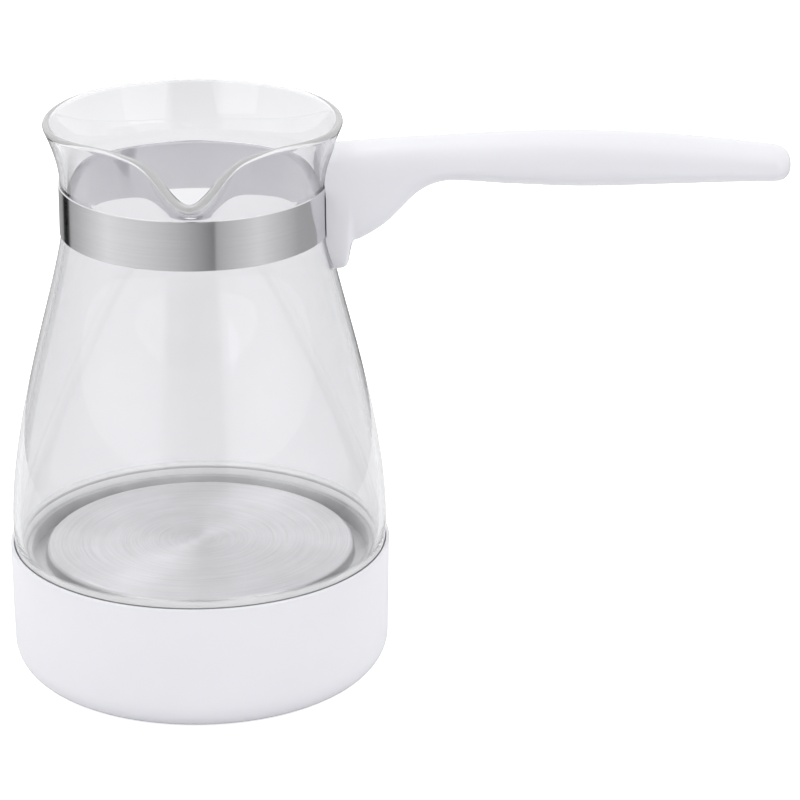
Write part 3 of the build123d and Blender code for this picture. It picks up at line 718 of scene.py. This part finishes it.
@dataclass
class Jug:
    """Clear glass jug: bell, neck, flared rim and pulled lip. Sizes in millimetres, angles in degrees."""

    heel_radius: float = 53.4
    heel_height: float = 34.65
    belly_radius: float = 54.1
    belly_height: float = 46.0
    shoulder_height: float = 134.0
    shoulder_ease: float = 1.7
    shoulder_fall: float = 1.35
    seat_radius: float = 37.5
    seat_levels: tuple[float, ...] = (138.0, 142.0, 145.5)
    seat_thinning: float = 0.05
    neck_radius: float = 37.7
    neck_top: float = 147.2
    rim_radius: float = 42.0
    rim_height: float = 164.5
    flare_power: float = 1.75
    wall: float = 1.95
    heel_wall: float = 2.8
    heel_reach: float = 9.0
    heel_chamfer: float = 0.3
    foot_round: float = 0.8
    lip_turn: float = 1.5
    lip_reach: float = 9.3
    lip_half_angle: float = 10.8
    lip_roundness: float = 1.8
    lip_drop: float = 9.9
    drop_half_angle: float = 13.2
    drop_roundness: float = 2.1
    lip_flare: float = 0.25
    flare_half_angle: float = 14.0
    lip_thickening: float = 0.5
    thick_half_angle: float = 16.0
    pinch_depth: float = 5.0
    pinch_angle: float = 40.0
    pinch_spread: float = 18.0
    # top of the foot, which gets painted light inside and painted shade outside
    painted_foot_top: float = 38.9
    # top of the low band of the bell that gets the rim's painted-highlight glass
    painted_band_top: float = 40.8
    # depth below the rim's edge that gets the painted-highlight glass
    rim_highlight_reach: float = 0.15
    points_round: int = 240
    painted_band_rings: int = 6
    bell_rings: int = 40
    neck_rings: int = 22
    rim_rings: int = 10
    neck_probe: float = 0.004
    rim_probe: float = 0.01

    def bell_radius(self, height: float) -> float:
        """Outside radius of the bell.

        Args:
            height: height above the floor.

        Returns:
            The radius there.
        """
        if height <= self.belly_height:
            share = (self.belly_height - height) / (self.belly_height - self.heel_height)
            return self.belly_radius - (self.belly_radius - self.heel_radius) * share**2
        share = min(1.0, (height - self.belly_height) / (self.shoulder_height - self.belly_height))
        fall = (1 - share**self.shoulder_ease) ** self.shoulder_fall
        return self.seat_radius + (self.belly_radius - self.seat_radius) * fall

    def lip_angle(self, turn: float) -> float:
        """Angle from the middle of the lip, in degrees, between -180 and 180."""
        return (math.degrees(turn) + 90 - self.lip_turn + 180) % 360 - 180

    def rim_at(self, turn: float) -> tuple[float, float]:
        """Outer line of the rim, with its pulled lip and the pinches beside it.

        Args:
            turn: turn round the jug, in radians.

        Returns:
            Radius and height of the line.
        """
        angle = abs(self.lip_angle(turn))
        pulled = self.lip_reach * math.exp(-((angle / self.lip_half_angle) ** self.lip_roundness))
        pinched = self.pinch_depth * math.exp(-(((angle - self.pinch_angle) / self.pinch_spread) ** 2))
        drop = self.lip_drop * math.exp(-((angle / self.drop_half_angle) ** self.drop_roundness))
        return self.rim_radius + pulled - pinched, self.rim_height - self.wall / 2 - drop

    def neck_point(self, turn: float, share: float) -> Vector:
        """Point of the neck's outer skin.

        Args:
            turn: turn round the jug, in radians.
            share: 0 at the neck's top, where the flare starts, and 1 at the rim.

        Returns:
            The point.
        """
        radius, height = self.rim_at(turn)
        near = math.exp(-((self.lip_angle(turn) / self.flare_half_angle) ** 2))
        power = self.flare_power - self.lip_flare * near
        reach = self.neck_radius + (radius - self.neck_radius) * share**power
        level = self.neck_top + (height - self.neck_top) * share
        return Vector((reach * math.cos(turn), reach * math.sin(turn), level))

    def neck_frame(self, turn: float, share: float) -> tuple[Vector, Vector, Vector]:
        """Frame of the neck's outer skin.

        Args:
            turn: turn round the jug, in radians.
            share: 0 at the neck's top, where the flare starts, and 1 at the rim.

        Returns:
            Point, outward normal and upward tangent.
        """
        step = self.neck_probe if share < 1 else self.rim_probe
        point = self.neck_point(turn, share)
        low, high = max(share - step, 0.0), min(share + step, 1.0)
        up = (self.neck_point(turn, high) - self.neck_point(turn, low)).normalized()
        along = (self.neck_point(turn + step, share) - self.neck_point(turn - step, share)).normalized()
        return point, along.cross(up).normalized(), up

    def wall_at(self, turn: float, share: float) -> float:
        """Thickness of the neck's wall at a turn and share; the lip's edge is a little thicker."""
        near = math.exp(-((self.lip_angle(turn) / self.thick_half_angle) ** 2))
        return self.wall + self.lip_thickening * near * share**4

    def outer_neck(self, share: float) -> Section:
        """Ring of the neck's outer skin."""
        return lambda turn: self.neck_point(turn, share)

    def inner_neck(self, share: float) -> Section:
        """Ring of the neck's inner skin, a wall's thickness inside.

        Args:
            share: 0 at the neck's top, where the flare starts, and 1 at the rim.

        Returns:
            The ring.
        """

        def place(turn: float) -> Vector:
            """Point of the ring at a turn."""
            point, normal, _ = self.neck_frame(turn, share)
            return point - normal * self.wall_at(turn, share)

        return place

    def rim_ring(self, degrees: float) -> Section:
        """Ring of the rounded rim.

        Args:
            degrees: 0 at the outer skin, 180 at the inner skin.

        Returns:
            The ring.
        """
        swing = math.radians(degrees)

        def place(turn: float) -> Vector:
            """Point of the ring at a turn.

            Args:
                turn: turn round the jug, in radians.

            Returns:
                The point.
            """
            point, normal, up = self.neck_frame(turn, 1.0)
            half = self.wall_at(turn, 1.0) / 2
            return point - normal * half + normal * (half * math.cos(swing)) + up * (half * math.sin(swing))

        return place

    def inner_bell(self, height: float) -> float:
        """Inside radius of the bell at a height; the foot is thicker."""
        foot = max(0.0, 1 - (height - self.heel_height) / self.heel_reach)
        return self.bell_radius(height) - self.wall - (self.heel_wall - self.wall) * foot**2

    def dress_edges(self, piece: bpy.types.Object, *edge_glasses: bpy.types.Material) -> None:
        """Give the rounded rim and the bonded foot painted glass: whitish glass paints the bright light of
        the rim, of a low band of the bell and of the foot's inside, and dark glass paints the shade on the
        foot's outside.

        Args:
            piece: the jug.
            edge_glasses: materials of the rim's painted highlight, the foot inside's painted light and the
                foot outside's painted shade.
        """
        for glass in edge_glasses:
            piece.data.materials.append(glass)
        for face in piece.data.polygons:
            middle = face.center / MM
            point, _, up = self.neck_frame(math.atan2(middle.y, middle.x), 1.0)
            # below this height the foot gets painted light inside and painted shade outside
            if middle.z < self.painted_foot_top:
                outside = face.normal.x * middle.x + face.normal.y * middle.y > 0
                face.material_index = (JugGlass.FOOT_OUTSIDE if outside else JugGlass.FOOT_INSIDE).value
            # the rim and the low band above the foot get whitish glass, a painted highlight
            elif middle.z < self.painted_band_top or (middle - point).dot(up) > -self.rim_highlight_reach:
                face.material_index = JugGlass.RIM.value

    def bell_levels(self) -> list[float]:
        """Heights of the bell's rings, closer together at the foot.

        Returns:
            The heights, from the foot's rounding to the shoulder.
        """
        start, bell = self.heel_height + self.foot_round, self.shoulder_height - self.painted_band_top
        foot = [start + (self.painted_band_top - start) * step / self.painted_band_rings for step in range(self.painted_band_rings)]
        return foot + [self.painted_band_top + bell * step / self.bell_rings for step in range(self.bell_rings + 1)]

    def build(self) -> bpy.types.Object:
        """Draw the jug's skins and join them at the foot.

        Returns:
            The jug as one closed object.
        """
        levels = self.bell_levels()[1:]
        round_radius, round_height = self.heel_radius - self.foot_round, self.heel_height + self.foot_round
        skin = RingSkin("glass_jug_skin", self.points_round, circle(round_radius, self.heel_height))
        for radius, height in arc((round_radius, round_height), self.foot_round, start=-60, end=0, steps=3):
            skin.add(circle(radius, height))
        for height in levels:
            skin.add(circle(self.bell_radius(height), height))
        for height in self.seat_levels:
            skin.add(circle(self.seat_radius, height))
        shares = [step / self.neck_rings for step in range(self.neck_rings + 1)]
        for share in shares:
            skin.add(self.outer_neck(share))
        for step in range(1, self.rim_rings):
            skin.add(self.rim_ring(180 / self.rim_rings * step))
        for share in reversed(shares):
            skin.add(self.inner_neck(share))
        for height in reversed(self.seat_levels):
            skin.add(circle(self.seat_radius - self.wall + self.seat_thinning, height))
        for height in reversed(levels):
            skin.add(circle(self.inner_bell(height), height))
        foot = self.heel_radius - self.heel_wall
        skin.add(circle(foot, round_height))
        skin.add(circle(foot + self.heel_chamfer, self.heel_height))
        skin.bridge()
        return skin.finish(smooth_angle=50.0)


@dataclass
class SteelBand:
    """Brushed closed band round the neck; the handle hides where it is joined. Sizes in millimetres."""

    inner_radius: float = 37.6
    thickness: float = 0.5
    low: float = 132.6
    height: float = 14.4
    edge: float = 0.18
    rings: int = 6
    inside_material: int = 1

    def build(self) -> bpy.types.Object:
        """Turn the band with softly rounded edges.

        Returns:
            The band.
        """
        outer = self.inner_radius + self.thickness
        top = self.low + self.height
        straight = self.height - 2 * self.edge
        levels = [self.low + self.edge + straight * step / self.rings for step in range(self.rings + 1)]
        outside = [(outer, level) for level in levels]
        inside = [(self.inner_radius, level) for level in reversed(levels)]
        profile = [*outside, (outer - self.edge, top), (self.inner_radius + self.edge, top), *inside,
                   (self.inner_radius + self.edge, self.low), (outer - self.edge, self.low)]
        return turned("neck_band_shell", profile, count=200, smooth_angle=30.0)

    def dress_inside(self, piece: bpy.types.Object, inside: bpy.types.Material) -> None:
        """Give the side against the glass a lighter copy of the band's steel, painted light that brightens
        the neck seen through the glass.

        Args:
            piece: the band.
            inside: lighter metal of the side against the glass, painted light.
        """
        piece.data.materials.append(inside)
        for face in piece.data.polygons:
            if face.normal.x * face.center.x + face.normal.y * face.center.y < 0:
                face.material_index = self.inside_material


@dataclass
class Handle:
    """One-piece handle: saddle and tongue against the jug, waist, grip and tip. Sizes in millimetres.

    The curves give the heights of its top, underside and widest line, and its half width, along x.
    """

    jug: Jug
    gap: float = 0.2
    band_radius: float = 38.1
    band_low: float = 132.6
    band_top: float = 147.0
    band_margin: float = 0.3
    root_x: float = 38.5
    root_shrinks: tuple[float, ...] = (0.02, 0.25, 0.5, 0.7, 0.85, 0.94, 0.985, 1.0)
    lean_start: float = 39.0
    lean_length: float = 5.0
    skin_start: float = 39.2
    strides: tuple[tuple[float, float], ...] = ((46.5, 0.3), (78.0, 1.0), (math.inf, 2.4))
    dome_start: float = 162.6
    tip: float = 167.85
    tip_power: float = 2.6
    tip_rings: int = 15
    tip_stride: float = 6.4
    root_power: float = 2.9
    upper_easing: float = 0.65
    lower_easing: float = 1.1
    easing_start: float = 44.0
    easing_length: float = 30.0
    points_round: int = 96
    top: GuideCurve = field(default_factory=lambda: GuideCurve(
        (37.0, 157.2), (46.7, 157.9), (54.6, 158.6), (70.0, 159.65), (90.0, 160.7), (110.0, 160.9),
        (133.0, 160.0), (150.0, 158.5), (168.0, 156.4)))
    under: GuideCurve = field(default_factory=lambda: GuideCurve(
        (37.0, 121.3), (41.0, 121.2), (42.8, 121.9), (43.7, 123.8), (44.2, 127.0), (44.9, 129.3),
        (46.7, 130.2), (50.5, 132.3), (54.6, 135.3), (58.5, 139.3), (62.4, 143.3), (66.4, 145.9),
        (71.0, 147.2), (76.0, 147.2), (90.0, 146.3), (110.0, 145.65), (133.0, 146.3), (150.0, 146.8),
        (168.0, 147.0)))
    side: GuideCurve = field(default_factory=lambda: GuideCurve(
        (37.0, 8.5), (46.0, 8.6), (60.0, 8.5), (75.0, 8.7), (95.0, 9.6), (112.0, 9.9), (130.0, 9.5),
        (150.0, 8.3), (168.0, 7.1)))
    widest: GuideCurve = field(default_factory=lambda: GuideCurve(
        (37.0, 148.0), (50.0, 150.0), (65.0, 152.0), (80.0, 152.6), (110.0, 152.4), (140.0, 151.8),
        (168.0, 151.2)))

    def saddle(self, across: float, height: float) -> float:
        """How far out the jug or band reaches, plus the gap.

        Args:
            across: place across the handle.
            height: height above the floor.

        Returns:
            The distance from the pot's axis along the handle.
        """
        if self.band_low - self.band_margin < height < self.band_top + self.band_margin:
            radius = self.band_radius
        elif height < self.band_low:
            radius = self.jug.bell_radius(height)
        else:
            rim, level = self.jug.rim_at(math.pi / 2)
            share = share_between(height, self.jug.neck_top, level)
            radius = self.jug.neck_radius + (rim - self.jug.neck_radius) * share**self.jug.flare_power
        return math.sqrt(max((radius + self.gap) ** 2 - across**2, 0.0))

    def outline(self, turn: float, x: float, shrink: float = 1.0) -> tuple[float, float]:
        """Outline of the handle's section.

        Args:
            turn: turn round the section, in radians.
            x: place along the handle.
            shrink: 1 on the skin, less inside it.

        Returns:
            Place across the handle, and height.
        """
        slim = share_between(x, self.easing_start, self.easing_start + self.easing_length)
        slim = slim * slim * (3 - 2 * slim)
        easing = self.upper_easing if math.sin(turn) > 0 else self.lower_easing
        power = self.root_power - easing * slim
        middle = self.widest.at(x)
        top, under = self.top.at(x), self.under.at(x)
        reach = top - middle if math.sin(turn) > 0 else middle - under
        across = self.side.at(x) * signed_power(math.cos(turn), 2 / power)
        height = middle + reach * signed_power(math.sin(turn), 2 / power)
        centre = (top + under) / 2
        return across * shrink, centre + (height - centre) * shrink

    def root_ring(self, shrink: float) -> Section:
        """Ring that lies on the jug.

        Args:
            shrink: 1 on the skin, less where it is drawn in towards its middle.

        Returns:
            The ring.
        """

        def place(turn: float) -> Vector:
            """Point of the ring at a turn."""
            across, height = self.outline(turn, self.root_x, shrink)
            return Vector((self.saddle(across, height), across, height))

        return place

    def ring(self, x: float) -> Section:
        """Ring of the handle's skin; near the root it leans with the saddle.

        Args:
            x: place along the handle.

        Returns:
            The ring.
        """
        lean = max(0.0, 1 - (x - self.lean_start) / self.lean_length)

        def place(turn: float) -> Vector:
            """Point of the ring at a turn."""
            across, height = self.outline(turn, x)
            return Vector((x + (max(self.saddle(across, height), x) - x) * lean, across, height))

        return place

    def tip_ring(self, share: float) -> Section:
        """Ring of the rounded tip.

        Args:
            share: 0 where the tip starts, 1 at its end.

        Returns:
            The ring.
        """
        shrink = (1 - share**self.tip_power) ** (1 / self.tip_power)
        x = self.dome_start + (self.tip - self.dome_start) * share

        def place(turn: float) -> Vector:
            """Point of the ring at a turn."""
            across, height = self.outline(turn, x, shrink)
            return Vector((x, across, height))

        return place

    def build(self) -> bpy.types.Object:
        """Draw the handle from the saddle to the tip.

        Returns:
            The handle.
        """
        skin = RingSkin("handle_shell", self.points_round, self.root_ring(self.root_shrinks[0]))
        for shrink in self.root_shrinks[1:]:
            skin.add(self.root_ring(shrink))
        x = self.skin_start
        while x < self.dome_start:
            skin.add(self.ring(x))
            x += next(stride for end, stride in self.strides if x < end)
        for step in range(self.tip_rings):
            skin.add(self.tip_ring(math.sin(math.radians(self.tip_stride * step))))
        skin.shut()
        return skin.finish(smooth_angle=60.0)


@dataclass
class Base:
    """White base ring, heating plate and seal. Sizes in millimetres."""

    height: float = 38.8
    radius: float = 54.98
    draft: float = 0.4
    rounding: float = 9.6
    floor: float = 2.4
    floor_slope: float = 1.0
    socket_radius: float = 54.0
    socket_round: float = 0.25
    ledge_height: float = 32.4
    ledge_inner: float = 50.1
    ledge_low: float = 30.0
    inner_wall: float = 52.2
    recess_radius: float = 42.0
    recess_round: float = 0.35
    recess_depth: float = 3.0
    recess_rise: float = 6.5
    recess_wall: float = 0.6
    edge: float = 0.45
    plate_height: float = 37.6
    plate_radius: float = 44.8
    plate_edge: float = 1.6
    plate_rings: tuple[float, ...] = (8.0, 20.0, 32.0, 40.0)
    trough_round: float = 0.8
    flange_radius: float = 53.9
    sheet: float = 0.6
    sheet_bend: float = 1.0
    seal_inner: float = 49.0
    seal_seat: float = 33.0
    seal_thickness: float = 1.6
    seal_lip: float = 3.0
    lip_chamfer: float = 0.3
    lip_crest: float = 0.7
    lip_shoulder: float = 0.2
    lip_skirt: float = 0.9
    heel_inner: float = 50.5

    def build_ring(self) -> bpy.types.Object:
        """Turn the white ring with its ledge, rounded foot and recess.

        Returns:
            The ring.
        """
        foot_outer = self.radius - self.draft - self.rounding
        recess_outer, recess_inner = self.recess_radius + self.floor, self.recess_radius - self.recess_wall
        profile = [(self.recess_radius, self.recess_round), (self.recess_radius + self.recess_round, 0.0)]
        profile += arc((foot_outer, self.rounding), self.rounding, start=-90, end=0, steps=16)
        profile += [(self.radius - self.draft / 2, self.height / 2)]
        profile += arc((self.radius - self.edge, self.height - self.edge), self.edge,
                       start=0, end=90, steps=4)
        profile += arc((self.socket_radius + self.socket_round, self.height - self.socket_round),
                       self.socket_round, start=90, end=180, steps=3)
        profile += [(self.socket_radius, self.ledge_height), (self.ledge_inner, self.ledge_height),
                    (self.ledge_inner, self.ledge_low), (self.inner_wall, self.ledge_low),
                    (self.inner_wall, self.rounding), (foot_outer + self.floor_slope, self.floor),
                    (recess_outer, self.floor), (recess_outer, self.recess_rise),
                    (recess_inner, self.recess_rise), (recess_inner, self.recess_depth),
                    (self.recess_radius, self.recess_depth)]
        return turned("base_ring_shell", profile, count=220, smooth_angle=30.0)

    def build_plate(self) -> bpy.types.Object:
        """Turn the heating plate: raised round middle, trough and flange.

        Returns:
            The plate.
        """
        top, inner = self.plate_height, self.plate_radius - self.sheet
        under = top - self.sheet
        profile = [(0, top), *((radius, top) for radius in self.plate_rings)]
        profile += arc((self.plate_radius - self.plate_edge, top - self.plate_edge), self.plate_edge,
                       start=90, end=0, steps=8)
        profile += arc((self.plate_radius + self.trough_round, self.seal_seat + self.trough_round),
                       self.trough_round, start=180, end=270, steps=4)
        profile += [(self.flange_radius, self.seal_seat), (self.flange_radius, self.ledge_height),
                    (inner, self.ledge_height), (inner, under - self.sheet_bend),
                    (inner - self.sheet_bend, under), (self.plate_rings[1], under), (0, under)]
        return turned("heating_plate_skin", profile, count=200, smooth_angle=40.0)

    def build_seal(self) -> bpy.types.Object:
        """Turn the silicone seal with its inner lip.

        Returns:
            The seal.
        """
        seat, top = self.seal_seat, self.seal_seat + self.seal_thickness
        lip_top = top + self.seal_lip
        profile = [(self.seal_inner, seat), (self.flange_radius, seat), (self.flange_radius, top),
                   (self.heel_inner, top), (self.heel_inner, lip_top - self.lip_chamfer),
                   (self.heel_inner - self.lip_chamfer, lip_top), (self.seal_inner + self.lip_crest, lip_top),
                   (self.seal_inner + self.lip_shoulder, lip_top - self.lip_chamfer),
                   (self.seal_inner, lip_top - self.lip_skirt)]
        return turned("jug_seal_ring", profile, count=200, smooth_angle=40.0)


# ---------------------------------------------------------------- studio
@dataclass(frozen=True)
class ReflectionRing:
    """Low ring of card round the pot that shows only in reflections. Lengths in metres."""

    name: str = "reflection_ring"
    radius: float = 0.28
    height: float = 0.14
    points_round: int = 96
    zones: Zones = (
        (-180, 0.46), (-168, 0.60), (-144, 0.76), (-108, 0.94), (-72, 0.56), (-58, 0.46), (-56, 0.0),
        (-43, 0.0), (-41, 0.36), (-20, 0.45), (8, 0.4), (18, 0.06), (33, 0.06), (38, 0.36), (50, 0.62),
        (58, 0.42), (83, 0.44), (125, 0.84), (150, 0.58), (160.5, 0.46), (161.5, 0.2), (170, 0.34))

    def build(self) -> None:
        """Stand the ring on the floor."""
        clear_selection()
        bpy.ops.mesh.primitive_cylinder_add(vertices=self.points_round, radius=self.radius, depth=self.height,
                                            end_fill_type="NOTHING", location=(0, 0, self.height / 2))
        bpy.ops.object.transform_apply(location=True, rotation=True, scale=True)
        card = bpy.context.object
        card.name = card.data.name = self.name
        for ray in ("camera", "diffuse", "transmission", "shadow", "volume_scatter"):
            setattr(card, "visible_" + ray, False)
        desk = FinishDesk(self.name)
        desk.set(Base_Color=(0, 0, 0, 1), Specular_IOR_Level=0, Emission_Strength=1.0)
        desk.drive(desk.brightness_round(desk.coordinates.outputs["Object"], self.zones), "Emission Color")
        card.data.materials.append(desk.material)


@dataclass(frozen=True)
class Floor:
    """Pale floor with a painted pool of light under the pot; its colour darkens outwards to painted shade.
    Lengths in metres.
    """

    name: str = "studio_floor"
    side: float = 12.0
    drop: float = 0.00005
    colour: Colour = (0.84, 0.84, 0.85)
    painted_shade_colour: Colour = (0.58, 0.58, 0.60)
    painted_light_spot: Place = (0.0, 0.2, 0.0)
    near: float = 0.25
    far: float = 0.75
    lift: float = 0.75
    roughness: float = 0.9
    specular: float = 0.2
    cloud_scale: float = 3.0
    cloud_share: float = 0.02

    def build(self) -> None:
        """Lay the floor, with a faint unevenness and the painted pool of light."""
        clear_selection()
        bpy.ops.mesh.primitive_plane_add(size=self.side, location=(0, 0, -self.drop))
        floor = bpy.context.object
        floor.name = self.name
        desk = FinishDesk(self.name)
        plain = desk.coordinates.outputs["Object"]
        # painted light: the colour falls from the pool of light under the pot to painted shade further off
        reach = desk.vector("DISTANCE", plain, self.painted_light_spot).outputs["Value"]
        fall = desk.mapped(reach, (self.near, self.far), (NOISE_HIGH, NOISE_LOW))
        cloudy = desk.number("MULTIPLY_ADD", desk.noise(plain, self.cloud_scale), self.cloud_share, fall)
        desk.colours(cloudy, self.painted_shade_colour, self.colour)
        desk.set(Roughness=self.roughness, Specular_IOR_Level=self.specular, Emission_Color=(1, 1, 1, 1))
        path = desk.add("ShaderNodeLightPath")
        desk.drive(desk.number("MULTIPLY", path.outputs["Is Camera Ray"], self.lift), "Emission Strength")
        floor.data.materials.append(desk.material)


@dataclass(frozen=True)
class LightTent:
    """Light tent round the scene with soft panels; the camera sees a white backdrop."""

    name: str = "light_tent"
    side_level: float = 1.6
    top_level: float = 1.45
    top_start: float = 0.3
    zones: Zones = (
        (-180, 0.1), (-162, 0.16), (-156, 0.72), (-112, 0.9), (-68, 0.7), (0, 0.7), (80, 0.7), (112, 0.9),
        (155, 0.72), (161, 0.1))

    def build(self) -> None:
        """Wrap the scene in the tent."""
        world = bpy.data.worlds.new(self.name)
        bpy.context.scene.world = world
        world.use_nodes = True
        world.node_tree.nodes.clear()
        desk = NodeDesk(world.node_tree)
        direction = desk.coordinates.outputs["Generated"]
        upward = desk.feed(desk.add("ShaderNodeSeparateXYZ"), direction).outputs["Z"]
        overhead = desk.mapped(upward, (self.top_start, 1.0), (self.side_level, self.top_level))
        tent = desk.feed(desk.add("ShaderNodeBackground"), desk.brightness_round(direction, self.zones),
                         overhead)
        backdrop = desk.feed(desk.add("ShaderNodeBackground"), (1, 1, 1, 1))
        path = desk.add("ShaderNodeLightPath")
        seen = desk.feed(desk.add("ShaderNodeMixShader"), path.outputs["Is Camera Ray"],
                         tent.outputs["Background"], backdrop.outputs["Background"])
        desk.feed(desk.add("ShaderNodeOutputWorld"), seen.outputs["Shader"])


@dataclass(frozen=True)
class Softbox:
    """Large soft light that faces the pot. Lengths in metres, power in watts."""

    name: str
    place: Place
    side: float
    power: float
    mirrored: bool = True
    aim: Place = (0.03, 0, 0.08)

    def build(self) -> None:
        """Hang the light; glossy surfaces show it only where it is mirrored."""
        turn = (Vector(self.aim) - Vector(self.place)).to_track_quat("-Z", "Y").to_euler()
        bpy.ops.object.light_add(type="AREA", location=self.place, rotation=turn)
        light = bpy.context.object
        light.name = self.name
        light.data.shape = "SQUARE"
        light.data.size = self.side
        light.data.energy = self.power
        light.visible_glossy = self.mirrored


@dataclass(frozen=True)
class Studio:
    """Camera, floor, light tent, reflections and soft lights. Lengths in metres, angles in degrees."""

    camera_place: Place = (0.05808, -1.08565, 0.49385)
    elevation: float = 20.84
    lens: float = 181.9
    sensor: float = 36.0
    far_limit: float = 50.0
    light_bounces: int = 32
    floor: Floor = Floor()
    tent: LightTent = LightTent()
    reflections: ReflectionRing = ReflectionRing()
    lights: tuple[Softbox, ...] = (
        Softbox("softbox_front_left", (-0.7, -1.0, 0.85), side=0.9, power=3.6, mirrored=False),
        Softbox("softbox_front_right", (0.9, -0.9, 0.7), side=0.9, power=2.7, mirrored=False),
        Softbox("softbox_back_left", (-0.41, 0.58, 1.09), side=0.7, power=1.6))

    def build_camera(self) -> None:
        """Add the camera and make it the scene's."""
        tilt = math.radians(90 - self.elevation)
        bpy.ops.object.camera_add(location=self.camera_place, rotation=(tilt, 0, 0))
        camera = bpy.context.object
        camera.name = "studio_camera"
        camera.data.lens = self.lens
        camera.data.sensor_width = self.sensor
        camera.data.clip_end = self.far_limit
        bpy.context.scene.camera = camera

    def build(self) -> None:
        """Set up the whole studio."""
        scene = bpy.context.scene
        scene.view_settings.view_transform = "Standard"
        scene.cycles.max_bounces = self.light_bounces
        scene.cycles.transmission_bounces = self.light_bounces
        self.build_camera()
        for thing in (self.floor, self.tent, self.reflections, *self.lights):
            thing.build()


def main() -> None:
    """Build the studio and every piece, and report each."""
    Studio().build()
    paint = Paintshop()
    paint.dress_cad()

    jug = Jug()
    glass = jug.build()
    glass.visible_shadow = False  # without caustics its shadow would darken all that stands in it
    paint.dress(glass, "jug_glass")
    jug.dress_edges(glass, RIM_PAINTED_HIGHLIGHT_GLASS.make(), FOOT_PAINTED_LIGHT_GLASS.make(), FOOT_PAINTED_SHADE_GLASS.make())
    settle(glass, "glass_jug")

    neck_band = SteelBand()
    band = neck_band.build()
    paint.dress(band, "band_steel")
    neck_band.dress_inside(band, BAND_INSIDE_PAINTED_LIGHT.make())
    settle(band, "neck_band")

    handle = Handle(jug).build()
    paint.dress(handle, "white_gloss")
    settle(handle, "handle")

    base = Base()
    ring = base.build_ring()
    paint.dress(ring, "white_gloss")
    settle(ring, "base_ring")
    plate = base.build_plate()
    paint.dress(plate, "plate_steel")
    settle(plate, "heating_plate")
    seal = base.build_seal()
    paint.dress(seal, "seal_rubber")
    settle(seal, "jug_seal")


if __name__ == "__main__":
    main()
